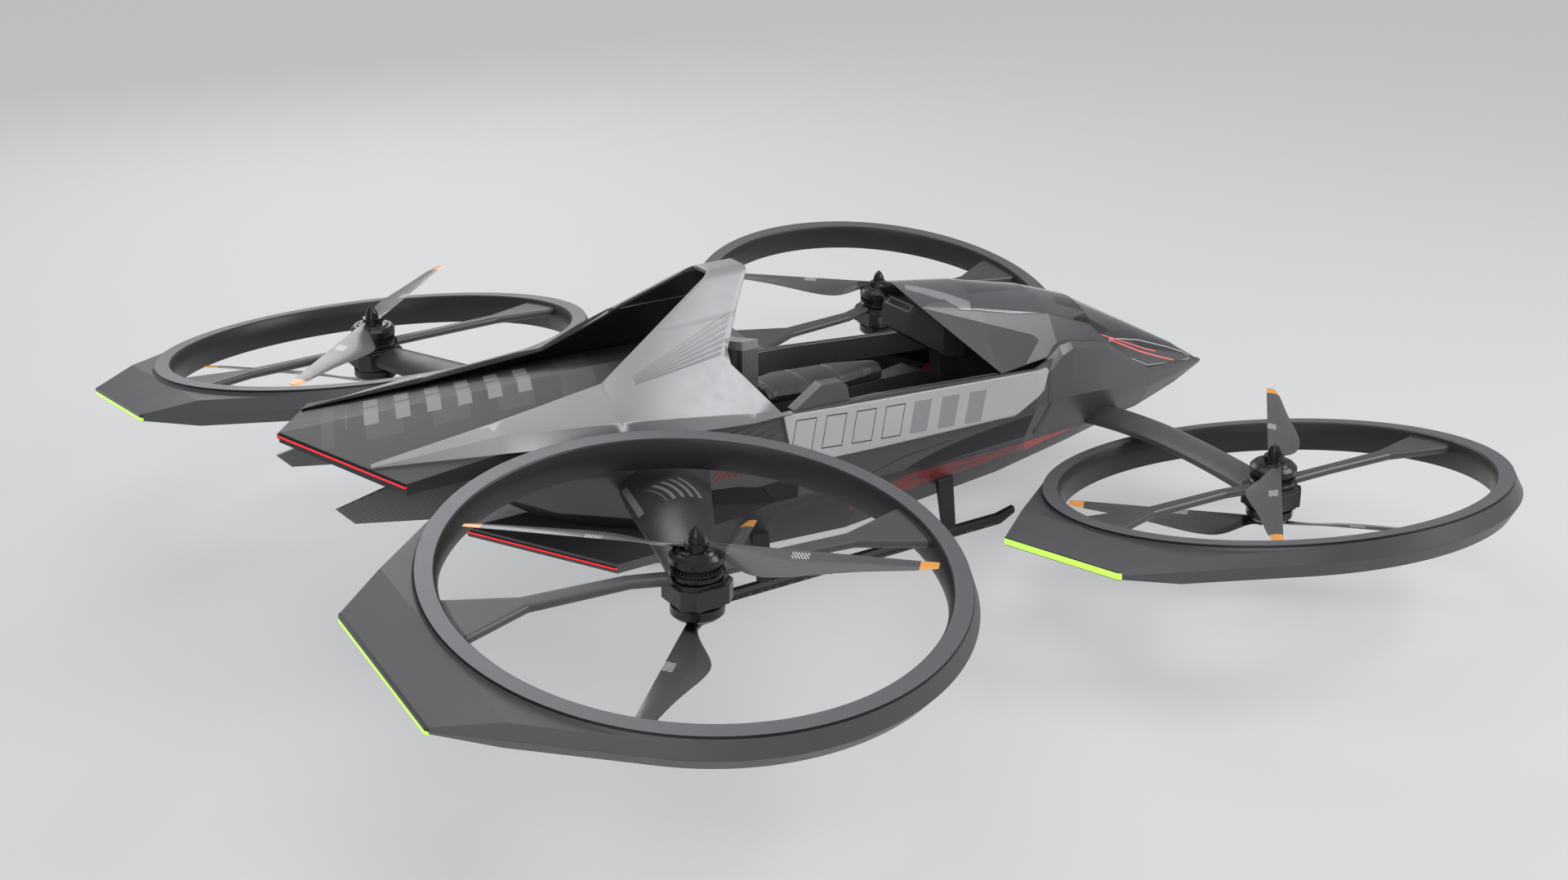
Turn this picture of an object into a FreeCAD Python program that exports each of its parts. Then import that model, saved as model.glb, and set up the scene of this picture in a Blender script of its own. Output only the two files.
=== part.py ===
import FreeCAD, Part
import math
import os

# Single-seat lift aircraft: a saddle cockpit between two pairs of canted duct rings, each ring
# with two contra-turning propellers. X runs forward, Y to the left, Z up, in millimetres.
# Stations along X are measured from the middle of the rotor pattern, and heights from the floor.

os.makedirs("parts", exist_ok=True)

# Clearances, and how far cutting shapes run past what they cut
soft_gap = 0.3
skin_gap = 0.3
end_play = 0.3
cut_overlap = 1.0
cut_margin = 200.0

# Duct ring
ring_radius = 900.0
ring_rim = 69.0
ring_flare = 30.0
ring_flare_drop = 74.0
ring_depth = 133.0
ring_foot_tuck = 39.0
ring_lip = 12.0
ring_chamfer = 6.0
wedge_length = 171.0
wedge_half_width = 356.0
wedge_top_drop = 20.0
wedge_end_height = 30.0
wedge_end_drop = 62.0
light_depth = 9.0
light_bevel = 14.0

# Rotor pattern
rear_rotor_height = 860.0
front_rotor_height = 537.0
rear_cant = 8.2
front_cant = -9.6
ring_to_centre = 434.0
ring_to_ring = 654.0

# Spokes, each row one station: share of the ring's radius, shift to the inboard side, width
spoke_thickness = 36.0
spoke_drop = 38.0
aft_spoke = [(0.0444444, 0.0, 70.0), (0.2666667, 60.0, 62.0), (0.6888889, 92.0, 74.0),
             (1.0277778, 108.0, 290.0)]
fore_spoke = [(0.0444444, 0.0, 70.0), (0.3333333, -20.0, 62.0), (0.6888889, -52.0, 74.0),
              (1.0277778, -92.0, 290.0)]

# Hub block and motors
hub_half_width = 107.0
hub_corner = 41.0
hub_top_drop = 38.0
hub_bottom_drop = 133.0
hub_neck = 12.0
motor_radius = 98.0
motor_gap = 7.0
motor_waist = 12.0
motor_lip = 4.0
motor_top = 60.0
motor_cap_radius = 74.0
motor_cap_height = 8.0
motor_cap_slope = 6.0
motor_low_height = 48.0
motor_chamfer = 14.0
shaft_radius = 20.0
shaft_clearance = 0.05
shaft_cover = 12.0
collar_width = 16.0
boss_radius = 46.0
boss_height = 26.0
boss_slope = 4.0
spinner_radius = 31.0
spinner_height = 60.0
spinner_swell = [(0.84, 0.40), (0.50, 0.76)]
nut_radius = 16.0
nut_height = 20.0
nut_slope = 3.0

# Propeller blade, each row one station: share of the radius, chord, thickness, twist
tip_gap = 54.0
blade_rows = [
    (0.030, 52.0, 20.0, 30.0),
    (0.120, 66.0, 16.0, 28.0),
    (0.220, 122.0, 12.0, 24.0),
    (0.310, 146.0, 10.0, 19.0),
    (0.600, 108.0, 7.5, 13.0),
    (0.930, 56.0, 5.0, 9.0),
    (1.000, 38.0, 3.5, 8.0),
]
blade_lead = 26.0
blade_crest = 0.4
blade_crown_share = 0.7
top_blade_angle = {"rear": 45.0, "front": 135.0}

# Arms, each row one station: share of the way from body to hub, shift in X, shift in Z,
# chord, crown above the middle, keel below it, edge height
rear_arm_root = (-943.0, 380.0, 712.0)
rear_arm_rows = [(0.0, 0.0, 0.0, 420.0, 86.0, 70.0, 9.0), (0.48, 0.0, 6.0, 306.0, 66.0, 56.0, 9.0),
                 (0.88, 6.0, 4.0, 206.0, 47.0, 46.0, 12.0), (1.0, 4.0, 0.0, 186.0, 44.0, 42.0, 16.0)]
front_arm_root = (1555.0, 150.0, 366.0)
front_arm_rows = [(0.0, 0.0, 0.0, 226.0, 46.0, 38.0, 12.0), (0.273, 13.0, 29.0, 198.0, 38.0, 33.0, 12.0),
                  (0.889, 4.0, 12.0, 172.0, 36.0, 34.0, 14.0), (1.0, 0.0, 0.0, 170.0, 36.0, 36.0, 16.0)]
arm_hub_drop = 85.0
arm_wall = 5.0

# Lower body, each row one station: X, then Y and Z of top edge, hip, chine and keel
tub_rows = [
    (-1900.0, 400.0, 948.0, 396.0, 930.0, 330.0, 905.0, 150.0, 895.0),
    (-1400.0, 404.0, 960.0, 402.0, 800.0, 330.0, 640.0, 150.0, 560.0),
    (-900.0, 404.0, 872.0, 420.0, 742.0, 392.0, 500.0, 170.0, 330.0),
    (-380.0, 378.0, 848.0, 405.0, 626.0, 386.0, 466.0, 150.0, 160.0),
    (120.0, 378.0, 836.0, 405.0, 618.0, 378.0, 458.0, 132.0, 122.0),
    (1000.0, 366.0, 772.0, 378.0, 588.0, 285.0, 388.0, 110.0, 182.0),
]
nose_rows = [
    (1000.0, 366.0, 772.0, 378.0, 588.0, 285.0, 388.0, 110.0, 182.0),
    (1187.0, 306.0, 790.0, 338.0, 590.0, 250.0, 374.0, 100.0, 206.0),
    (1446.0, 254.0, 728.0, 290.0, 560.0, 212.0, 360.0, 88.0, 240.0),
    (1840.0, 160.0, 532.0, 184.0, 470.0, 124.0, 338.0, 55.0, 294.0),
    (2150.0, 76.0, 476.0, 90.0, 450.0, 60.0, 380.0, 28.0, 362.0),
    (2366.0, 10.0, 438.0, 10.0, 433.0, 8.0, 427.0, 5.0, 424.0),
]
belly_rear = -1900.0
belly_tip = 1774.0
cockpit_rear = -400.0
cockpit_front = 1330.0
cockpit_wall = 18.0
cockpit_floor = 430.0
cockpit_lid = 80.0

# Raised cheeks of the nose, each row one station: X, then Y and Z of lip, shoulder, hip and foot
cheek_rows = [
    (1060.0, 330.0, 756.0, 344.0, 720.0, 354.0, 600.0, 296.0, 420.0),
    (1100.0, 322.0, 790.0, 348.0, 736.0, 366.0, 592.0, 290.0, 414.0),
    (1176.0, 306.0, 832.0, 336.0, 792.0, 356.0, 590.0, 276.0, 410.0),
    (1242.0, 300.0, 838.0, 328.0, 812.0, 346.0, 586.0, 264.0, 404.0),
    (1446.0, 266.0, 786.0, 292.0, 764.0, 308.0, 560.0, 230.0, 392.0),
    (1503.0, 257.0, 770.0, 280.0, 748.0, 294.0, 546.0, 218.0, 388.0),
    (1864.0, 170.0, 542.0, 190.0, 524.0, 196.0, 462.0, 138.0, 364.0),
    (2150.0, 82.0, 494.0, 96.0, 480.0, 100.0, 446.0, 68.0, 392.0),
    (2366.0, 10.0, 446.0, 13.0, 441.0, 13.0, 434.0, 9.0, 429.0),
]
cheek_depth = 26.0

# Canopy, each row one station: X, crown height, then Y and Z of glass edge and foot
canopy_rows = [
    (380.0, 1186.0, 165.0, 1122.0, 372.0, 800.0),
    (793.0, 1128.0, 186.0, 1046.0, 360.0, 788.0),
    (1187.0, 1036.0, 205.0, 956.0, 300.0, 792.0),
    (1446.0, 950.0, 192.0, 880.0, 248.0, 730.0),
    (1840.0, 742.0, 138.0, 648.0, 154.0, 534.0),
    (2150.0, 577.0, 62.0, 525.0, 72.0, 478.0),
    (2340.0, 456.0, 13.0, 450.0, 14.0, 443.0),
]
canopy_wall = 10.0
canopy_skirt = 40.0
screen_top = (446.0, 1180.0)
screen_foot = (941.0, 765.0)
screen_sweep = 0.309

# Plan outlines on the canopy: the clear roof ends in two arrow heads beside the lamp glass
arrow_heads = [(1336.0, 204.0), (1461.0, 162.0), (1284.0, 138.0), (1356.0, 0.0)]
roof_plan = [(300.0, 172.0), (500.0, 166.0), (560.0, 148.0), (634.0, 141.0), (680.0, 184.0), (990.0, 203.0)]
lamp_plan = [(1506.0, 199.0), (1655.0, 185.0), (1870.0, 160.0), (2400.0, 160.0)]
window_side = [(430.0, 1119.0), (504.0, 1092.0), (778.0, 993.0), (1058.0, 889.0), (1083.0, 864.0),
               (940.0, 780.0), (940.0, 690.0), (430.0, 690.0)]

# Roll hoop
hoop_top_height = 1414.0
hoop_top_rear = -529.0
hoop_top_front = -352.0
hoop_top_half_width = 104.0
hoop_top_depth = 60.0
hoop_top_chamfer = 30.0
hoop_top_roof = 38.0
hoop_top_cheek = 40.0
hoop_wall = 24.0
hoop_wall_fold = 0.4
hoop_wall_edge = 0.6
hoop_foot = (-382.0, 858.0)
hoop_front_start = -330.0
hoop_front_rise = 90.0
hoop_front_drop = 14.0
# Front edge of the legs from the top to the foot, each row: X, share of the height between foot and top
hoop_front_rows = [(-560.0, 0.4982014), (-565.0, 0.4082734)]
# Legs, each row one station: X, wall, Y of inner edge, fold and lower edge, Z of the lower edge, then the
# shares of the height from there to the hoop's top at which the inner edge and the fold lie
hoop_rows = [
    (-2160.0, 6.0, 344.0, 352.0, 354.0, 1003.0, 0.0583942, 0.0364964),
    (-1650.0, 20.0, 310.0, 398.0, 452.0, 992.0, 0.1753555, 0.1279621),
    (-1154.0, 24.0, 270.0, 430.0, 434.0, 916.0, 0.3995984, 0.1807229),
    (-529.0, 24.0, 66.0, 410.0, 414.0, 858.0, 0.9982014, 0.0791367),
    (-330.0, 24.0, 60.0, 392.0, 396.0, 852.0, 1.0249110, 0.0462633),
]

# Tail deck
tail_apex = (-2376.0, 1086.0)
tail_corner = (-2083.0, 490.0)
deck_fall = 0.212
deck_thickness = 46.0
deck_keel = 14.0
deck_tip_flare = 20.0
deck_tip_thickness = 26.0
deck_front = -620.0
deck_rows = [(-1700.0, 440.0, 76.0), (-1400.0, 404.0, 80.0), (deck_front, 330.0, 76.0)]
tail_light_depth = 8.0
tail_light_height = 14.0
tail_light_drop = 6.0
lower_light_drop = 12.0

# Lower rear plate
lower_apex = (-1640.0, 513.0)
lower_corner = (-1195.0, 430.0)
lower_fall = 0.26
lower_thickness = 40.0
lower_front = -1000.0

# Ventral fins in side view, on a plane leaning outwards
fin_outline = [(-2098.0, 905.0), (-2292.0, 866.0), (-2230.0, 800.0), (-1900.0, 742.0), (-1500.0, 790.0),
               (-1560.0, 905.0)]
fin_thickness = 14.0
fin_y = 300.0
fin_lean = 0.16

# Where the cuts for side pieces start, measured from the middle
side_start = 100.0

# Silver side panels in side view
panel_outline = [(-372.0, 846.0), (1064.0, 762.0), (1078.0, 748.0), (1040.0, 664.0), (858.0, 582.0),
                 (780.0, 588.0), (-160.0, 622.0), (-352.0, 712.0)]
panel_thickness = 12.0

# Side intakes behind the cockpit, in side view and in plan
intake_side = [(-735.0, 606.0), (-608.0, 590.0), (-484.0, 556.0), (-318.0, 362.0), (-352.0, 300.0),
               (-700.0, 340.0)]
intake_plan = [(-760.0, 600.0), (-760.0, 290.0), (-700.0, 280.0), (-440.0, 382.0), (-310.0, 412.0),
               (-310.0, 600.0)]

# Vent slots below the hoop foot, each row: rear end X, lower edge Z
vent_rows = [(-660.0, 822.0), (-610.0, 800.0), (-560.0, 778.0), (-510.0, 756.0)]
vent_length = 150.0
vent_height = 11.0
vent_depth = 18.0
vent_rise = 16.0

# Saddle, each row one station: X, half width, top height
saddle_rows = [(-290.0, 118.0, 846.0), (-120.0, 146.0, 850.0), (160.0, 120.0, 840.0), (390.0, 52.0, 822.0)]
seat_thickness = 72.0
seat_shoulder_drop = 30.0
seat_foot_share = 0.82
tunnel_share = 0.72
tunnel_flare = 1.3
# Tank-shaped tunnel ahead of the saddle: X, half width, top height
tank_rows = [(560.0, 62.0, 760.0), (1000.0, 50.0, 560.0)]

# Backrest in plan, front then rear, with a scoop in its face
back_front = [(-352.0, 160.0), (-366.0, 128.0), (-398.0, 70.0), (-402.0, 0.0)]
back_rear = [(-466.0, 0.0), (-462.0, 90.0), (-430.0, 160.0)]
back_foot = 800.0
back_rise = 250.0
back_crown = 18.0
scoop_half_width = 104.0
scoop_low = 905.0
scoop_high = 1066.0
scoop_floor = -420.0

# Instrument pod and its post
dash_side = [(480.0, 1050.0), (515.0, 1082.0), (690.0, 1040.0), (800.0, 900.0), (770.0, 804.0), (650.0, 836.0),
             (470.0, 955.0)]
dash_half_width = 140.0
dash_rear_share = 0.72
dash_cheek = 36.0
post_lap = 20.0
post_rear_splay = 30.0
post_front_splay = 60.0
post_half_width = 40.0
post_rear = 690.0
post_front = 790.0
post_foot = 540.0

# Inner side rails, in side view
rail_side = [(-392.0, 846.0), (120.0, 834.0), (820.0, 785.0), (915.0, 676.0), (640.0, 688.0), (-392.0, 748.0)]
rail_width = 16.0

# Armrest control on the right sill, in side view
control_side = [(-306.0, 800.0), (-306.0, 848.0), (-186.0, 926.0), (-166.0, 938.0), (-64.0, 931.0),
                (-40.0, 908.0), (-26.0, 842.0), (-26.0, 800.0)]
control_inner = 312.0
control_outer = 368.0

# Landing skids
skid_y = 250.0
skid_rear = -640.0
skid_front = 900.0
skid_half_width = 26.0
skid_height = 40.0
skid_shoulder = 0.55
skid_toe = 90.0
skid_toe_lift = 34.0
skid_heel_lift = 16.0
skid_end_scale = 0.7
strut_stations = [-380.0, 620.0]
strut_top = 330.0
strut_lean = 60.0
strut_chord = 90.0
strut_width = 24.0
strut_foot_share = 0.7
strut_foot_height = 16.0

# Battery
battery_rear = -250.0
battery_front = 850.0
battery_half_width = 100.0
battery_low = 250.0
battery_high = 395.0

ring_outer = ring_radius + ring_rim + ring_flare
wedge_reach = ring_outer + wedge_length
half_y = ring_outer + ring_to_centre
half_x = (wedge_reach + light_depth + ring_outer + ring_to_ring) / 2
prop_radius = ring_radius - tip_gap
origin_shift = (wedge_reach + light_depth - ring_outer) / 2
wide = tail_corner[1] + cut_margin
tall = hoop_top_height + cut_margin
under = -cut_margin


def vec(x, y, z):
    return FreeCAD.Vector(x, y, z)


def polygon(points):
    return Part.makePolygon(points + [points[0]])


def prism_xz(points, y0, y1):
    face = Part.Face(polygon([vec(x, y0, z) for x, z in points]))
    return face.extrude(vec(0, y1 - y0, 0))


def prism_xy(points, z0, z1):
    face = Part.Face(polygon([vec(x, y, z0) for x, y in points]))
    return face.extrude(vec(0, 0, z1 - z0))


def plan_pair(half):
    # Closes a plan outline given for the left side only
    return half + [(x, -y) for x, y in reversed(half) if y != 0]


def box(x0, x1, y0, y1, z0, z1):
    return Part.makeBox(x1 - x0, y1 - y0, z1 - z0, vec(x0, y0, z0))


def cylinder(radius, z0, z1):
    return Part.makeCylinder(radius, z1 - z0, vec(0, 0, z0))


def ruled(wires):
    return Part.makeLoft(wires, True, True)


def smooth(wires):
    return Part.makeLoft(wires, True, False)


def flip(shape):
    return shape.mirror(vec(0, 0, 0), vec(0, 1, 0))


def both(shape):
    return Part.makeCompound([shape, flip(shape)])


def write(name, shape):
    placed = shape.copy()
    placed.translate(vec(origin_shift, 0, 0))
    placed.exportStep("parts/" + name + ".step")
    print(name, len(placed.Solids), round(placed.Volume / 1e6, 2), placed.isValid())


def line(a, b):
    return Part.LineSegment(a, b).toShape()


def arc(a, b, c):
    return Part.Arc(a, b, c).toShape()


# Duct ring, spokes and rear wedge, built about a rotor axis with the inboard side at -Y
def ring_body():
    top = vec(ring_radius, 0, -ring_chamfer)
    rim_in = vec(ring_radius + ring_chamfer, 0, 0)
    rim_out = vec(ring_radius + ring_rim, 0, 0)
    flare = vec(ring_outer, 0, -ring_flare_drop)
    tuck = vec(ring_outer - ring_foot_tuck, 0, -ring_depth)
    foot = vec(ring_radius, 0, -ring_depth)
    belly = vec(ring_radius - ring_lip, 0, -ring_depth / 2)
    edges = [line(top, rim_in), line(rim_in, rim_out), line(rim_out, flare), line(flare, tuck), line(tuck, foot),
             arc(foot, belly, top)]
    return Part.Face(Part.Wire(edges)).revolve(vec(0, 0, 0), vec(0, 0, 1), 360)


def ring_wedge():
    # Its flanks run on from the ring's outer wall: same profile, square to the tangent
    reach = wedge_reach
    distance = math.hypot(reach, wedge_half_width)
    angle = math.atan2(wedge_half_width, -reach) - math.acos(ring_outer / distance)
    wires = []
    rim = ring_radius + ring_rim
    levels = ((rim, 0), (ring_outer, -ring_flare_drop), (ring_outer - ring_foot_tuck, -ring_depth))
    for grip, z in levels:
        x = grip * math.cos(angle)
        y = grip * math.sin(angle)
        end = (grip + reach * math.cos(angle)) / math.sin(angle)
        wires.append(polygon([vec(-reach, -end, z), vec(-reach, end, z), vec(x, y, z), vec(x, -y, z)]))
    low = wedge_end_drop + wedge_end_height
    side = [(-reach, -wedge_end_drop), (-reach, -low), (-rim, -ring_depth), (0, -ring_depth),
            (0, -wedge_top_drop), (-rim, -wedge_top_drop)]
    bore = cylinder(ring_radius + ring_rim / 2, -2 * ring_depth, ring_depth)
    return ruled(wires).common(prism_xz(side, -reach, reach)).cut(bore)


def flat_oval(centre, width, thickness):
    # Flat-sided section across the spoke, with two round ends
    r = thickness / 2
    a = vec(0, width / 2 - r, 0)
    end = vec(0, width / 2, 0)
    up = vec(0, 0, r)
    edges = [line(centre - a + up, centre + a + up), arc(centre + a + up, centre + end, centre + a - up),
             line(centre + a - up, centre - a - up), arc(centre - a - up, centre - end, centre - a + up)]
    return Part.Wire(edges)


def spoke(rows, sign):
    wires = []
    for share, inboard, width in rows:
        middle = vec(sign * share * ring_radius, -inboard, -spoke_drop)
        wires.append(flat_oval(middle, width, spoke_thickness))
    return ruled(wires)


def ring_unit():
    keep = cylinder(ring_radius + ring_rim / 2, -2 * ring_depth, ring_depth)
    spokes = spoke(aft_spoke, -1).fuse(spoke(fore_spoke, 1)).common(keep)
    return ring_body().fuse(ring_wedge()).fuse(spokes).removeSplitter()


def ring_light():
    low = wedge_end_drop + wedge_end_height
    end = -wedge_reach - light_depth
    plan = plan_pair([(-wedge_reach, wedge_half_width), (end, wedge_half_width - light_bevel)])
    return prism_xy(plan, -low, -wedge_end_drop)


# Hub block with the shaft that both motors turn on
def hub_plan(half, corner):
    inner = half - corner
    return [(half, -inner), (half, inner), (inner, half), (-inner, half), (-half, inner), (-half, -inner),
            (-inner, -half), (inner, -half)]


def hub_unit():
    top = -hub_top_drop
    low = -hub_bottom_drop
    block = prism_xy(hub_plan(hub_half_width, hub_corner), low + hub_neck, top - hub_neck)
    neck = prism_xy(hub_plan(hub_half_width - hub_neck, hub_corner), low, top)
    shaft_low = low - motor_gap - motor_low_height + shaft_cover
    shaft = cylinder(shaft_radius, shaft_low, motor_top - shaft_cover)
    collar = shaft_radius + collar_width
    upper = cylinder(collar, top, top + motor_gap - end_play)
    lower = cylinder(collar, low - motor_gap + end_play, low)
    return block.fuse([neck, shaft, upper, lower]).removeSplitter()


# Propeller and motor bell, turning as one piece
def blade_section(row, z, sense):
    # Leading edge on a straight line ahead of the pitch axis, for a blade along +Y
    share, chord, thickness, twist = row
    t = math.radians(twist)
    back = vec(-sense * math.cos(t), 0, -math.sin(t))
    up = vec(-sense * math.sin(t), 0, math.cos(t))
    lead = vec(sense * blade_lead, share * prop_radius, z)
    trail = lead + back * chord
    middle = lead + back * (chord * blade_crest)
    crown = middle + up * (blade_crown_share * thickness)
    keel = middle - up * ((1 - blade_crown_share) * thickness)
    return Part.Wire([arc(lead, crown, trail), arc(trail, keel, lead)])


def two_blades(z, sense, angle):
    one = smooth([blade_section(row, z, sense) for row in blade_rows])
    two = one.copy()
    two.rotate(vec(0, 0, 0), vec(0, 0, 1), 180)
    pair = Part.makeCompound([one, two])
    pair.rotate(vec(0, 0, 0), vec(0, 0, 1), angle - 90)
    return pair.Solids


def turned(profile):
    face = Part.Face(polygon([vec(r, 0, z) for r, z in profile]))
    return face.revolve(vec(0, 0, 0), vec(0, 0, 1), 360)


def top_rotor(angle, sense):
    low = motor_gap - hub_top_drop
    bore = shaft_radius + shaft_clearance
    bore_top = motor_top - shaft_cover + end_play
    rim = motor_top - motor_chamfer
    flange = rim - 2 * motor_waist
    waist = motor_radius - motor_waist
    cap = motor_top + motor_cap_height
    boss = cap + boss_height
    foot = motor_radius - motor_lip
    profile = [(bore, low), (foot, low), (foot, low + motor_waist), (waist, low + 1.5 * motor_waist)]
    profile += [(waist, flange - motor_waist / 2), (motor_radius, flange), (motor_radius, rim)]
    profile += [(motor_radius - motor_chamfer, motor_top), (motor_cap_radius, motor_top)]
    profile += [(motor_cap_radius - motor_cap_slope, cap), (boss_radius, cap), (boss_radius - boss_slope, boss)]
    profile += [(spinner_radius, boss)]
    profile += [(spinner_radius * share, boss + spinner_height * height) for share, height in spinner_swell]
    profile += [(0, boss + spinner_height), (0, bore_top), (bore, bore_top)]
    return turned(profile).fuse(two_blades(cap + boss_height / 2, sense, angle)).removeSplitter()


def low_rotor(angle, sense):
    top = -hub_bottom_drop - motor_gap
    bore = shaft_radius + shaft_clearance
    low = top - motor_low_height
    bore_low = low + shaft_cover - end_play
    boss = low - boss_height
    foot = boss - nut_height
    profile = [(bore, top), (motor_radius, top), (motor_radius, low + motor_chamfer)]
    profile += [(motor_radius - motor_chamfer, low), (boss_radius, low), (boss_radius - boss_slope, boss)]
    profile += [(nut_radius, boss), (nut_radius - nut_slope, foot), (0, foot), (0, bore_low), (bore, bore_low)]
    return turned(profile).fuse(two_blades(low - boss_height / 2, sense, angle)).removeSplitter()


def rotor_place(end):
    if end == "rear":
        return vec(-half_x, half_y, rear_rotor_height), rear_cant
    return vec(half_x, half_y, front_rotor_height), front_cant


def put(shape, place, cant):
    moved = shape.copy()
    moved.rotate(vec(0, 0, 0), vec(1, 0, 0), -cant)
    moved.translate(place)
    return moved


# Arm from the body to the hub, with a crowned section and blunt edges
def arm_section(x, y, z, chord, crown, keel, edge):
    c = chord / 2
    front_high = vec(x + c, y, z + edge)
    front_low = vec(x + c, y, z - edge)
    rear_high = vec(x - c, y, z + edge)
    rear_low = vec(x - c, y, z - edge)
    return Part.Wire([arc(rear_high, vec(x, y, z + crown), front_high), line(front_high, front_low),
                      arc(front_low, vec(x, y, z - keel), rear_low), line(rear_low, rear_high)])


def arm(root, rows, hub):
    wires = []
    for share, shift_x, shift_z, chord, crown, keel, edge in rows:
        x = root[0] + share * (hub.x - root[0]) + shift_x
        y = root[1] + share * (hub.y - root[1])
        z = root[2] + share * (hub.z - arm_hub_drop - root[2]) + shift_z
        wires.append(arm_section(x, y, z, chord, crown, keel, edge))
    return smooth(wires)


# Body sections with a top edge, hip, chine and keel on each side
def body_wire(row, inset=0.0):
    x, ty, tz, hy, hz, cy, cz, ky, kz = row
    half = [(ty - inset, tz), (hy - inset, hz), (cy - inset, cz), (ky, kz + inset)]
    points = [vec(x, y, z) for y, z in half]
    points += [vec(x, -y, z) for y, z in reversed(half)]
    return polygon(points)


def cockpit_rows():
    # From the last section behind the cockpit to the first one ahead of it
    rows = tub_rows + nose_rows[1:]
    first = max(row[0] for row in rows if row[0] <= cockpit_rear)
    last = min(row[0] for row in rows if row[0] >= cockpit_front)
    return [row for row in rows if first <= row[0] <= last]


def cockpit_space(inset):
    # The hollow inside the walls, open at the top
    rows = cockpit_rows()
    inner = ruled([body_wire(row, inset) for row in rows])
    lids = []
    for row in rows:
        x = row[0]
        y = row[1] - inset
        low = row[2] - cut_overlap
        high = row[2] + cockpit_lid
        lids.append(polygon([vec(x, y, low), vec(x, -y, low), vec(x, -y, high), vec(x, y, high)]))
    keep = box(cockpit_rear, cockpit_front, -wide, wide, cockpit_floor, tall)
    return inner.fuse(ruled(lids)).common(keep)


def chine_block(rows):
    # The space below the chine line, used to part the belly from the body above it
    wires = []
    for row in rows:
        x = row[0]
        z = row[6]
        wires.append(polygon([vec(x, -wide, z), vec(x, wide, z), vec(x, wide, under), vec(x, -wide, under)]))
    return ruled(wires)


def cheek():
    # Raised side of the nose with a bevelled lip
    wires = []
    for x, ly, lz, sy, sz, hy, hz, fy, fz in cheek_rows:
        d = min(cheek_depth, ly / 2)
        points = [(ly - d, lz), (ly, lz), (sy, sz), (hy, hz), (fy, fz), (fy - d, fz), (hy - d, hz)]
        wires.append(polygon([vec(x, y, z) for y, z in points]))
    return ruled(wires)


# Canopy
def canopy_wire(row, inset=0.0):
    x, crown, gy, gz, fy, fz = row
    drop = canopy_skirt if inset else 0.0
    gy = gy - inset
    gz = gz - inset
    fy = fy - inset
    low = fz - drop
    top = arc(vec(x, gy, gz), vec(x, 0, crown - inset), vec(x, -gy, gz))
    return Part.Wire([top, line(vec(x, -gy, gz), vec(x, -fy, low)), line(vec(x, -fy, low), vec(x, fy, low)),
                      line(vec(x, fy, low), vec(x, gy, gz))])


def canopy_shell():
    outer = ruled([canopy_wire(row) for row in canopy_rows])
    inner = ruled([canopy_wire(row, canopy_wall) for row in canopy_rows[:-1]])
    # The screen's rear edge leans back and sweeps aft towards the sides
    x0, z0 = screen_top
    x1, z1 = screen_foot
    slope = (x1 - x0) / (z1 - z0)
    rake = [(-wide, tall), (x0 + slope * (tall - z0), tall), (x1 - slope * z1, 0), (-wide, 0)]
    face = Part.Face(polygon([vec(x, 0, z) for x, z in rake]))
    behind = face.extrude(vec(-screen_sweep * wide, wide, 0))
    return outer.cut(inner).cut(behind).cut(flip(behind))


def roof_zone():
    return prism_xy(plan_pair(roof_plan + arrow_heads), 0, tall)


def lamp_zone():
    return prism_xy(plan_pair(arrow_heads[::-1] + lamp_plan), 0, tall)


def window_zone():
    side = prism_xz(window_side, -wide, wide)
    return side.cut(roof_zone())


# Roll hoop
def hoop_leg():
    wires = []
    for x, t, ay, by, cy, cz, edge, fold in hoop_rows:
        az = cz + edge * (hoop_top_height - cz)
        bz = cz + fold * (hoop_top_height - cz)
        points = [(ay, az), (by, bz), (cy, cz), (cy - t, cz)]
        points += [(by - t, bz - t * hoop_wall_fold), (ay - t * hoop_wall_edge, az - t)]
        wires.append(polygon([vec(x, y, z) for y, z in points]))
    fx, fz = hoop_foot
    top = hoop_top_height
    high = top + hoop_front_rise
    front = [(hoop_front_start, high), (hoop_top_front, top - hoop_front_drop)]
    front += [(x, fz + share * (top - fz)) for x, share in hoop_front_rows]
    front += [(fx, fz), (0, fz), (0, high)]
    return ruled(wires).cut(prism_xz(front, 0, wide))


def hoop_unit():
    half = hoop_top_half_width
    z = hoop_top_height
    low = z - hoop_top_depth
    w = hoop_wall
    ring = [(half - hoop_top_chamfer, z), (half, z - w), (half, low), (half - w, low)]
    ring += [(half - hoop_top_cheek, z - hoop_top_roof)]
    points = ring + [(-y, zz) for y, zz in reversed(ring)]
    face = Part.Face(polygon([vec(hoop_top_rear, y, zz) for y, zz in points]))
    top = face.extrude(vec(hoop_top_front - hoop_top_rear, 0, 0))
    leg = hoop_leg()
    return leg.fuse([flip(leg), top]).removeSplitter()


# Tail deck and lower plate, both with a V-shaped rear edge
def vee_section(x, half, apex_height, fall, thickness, keel):
    edge = apex_height - fall * half
    points = [(0, apex_height), (half, edge), (half, edge - thickness), (0, apex_height - thickness - keel),
              (-half, edge - thickness), (-half, edge)]
    return polygon([vec(x, y, z) for y, z in points])


def tail_deck():
    ax, az = tail_apex
    cx, cy = tail_corner
    rows = [(ax, cy + deck_tip_flare, deck_tip_thickness), (cx, cy, deck_thickness)] + deck_rows
    slab = ruled([vee_section(x, half, az, deck_fall, t, deck_keel) for x, half, t in rows])
    plan = plan_pair([(ax, 0), (cx, cy), (cx, wide), (0, wide)])
    return slab.common(prism_xy(plan, 0, tall))


def lower_plate():
    ax, az = lower_apex
    cx, cy = lower_corner
    half = cy + cut_overlap
    slab = ruled([vee_section(x, half, az, lower_fall, lower_thickness, 0.0) for x in (ax, lower_front)])
    plan = plan_pair([(ax, 0), (cx, cy), (lower_front, cy)])
    return slab.common(prism_xy(plan, 0, tall))


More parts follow.
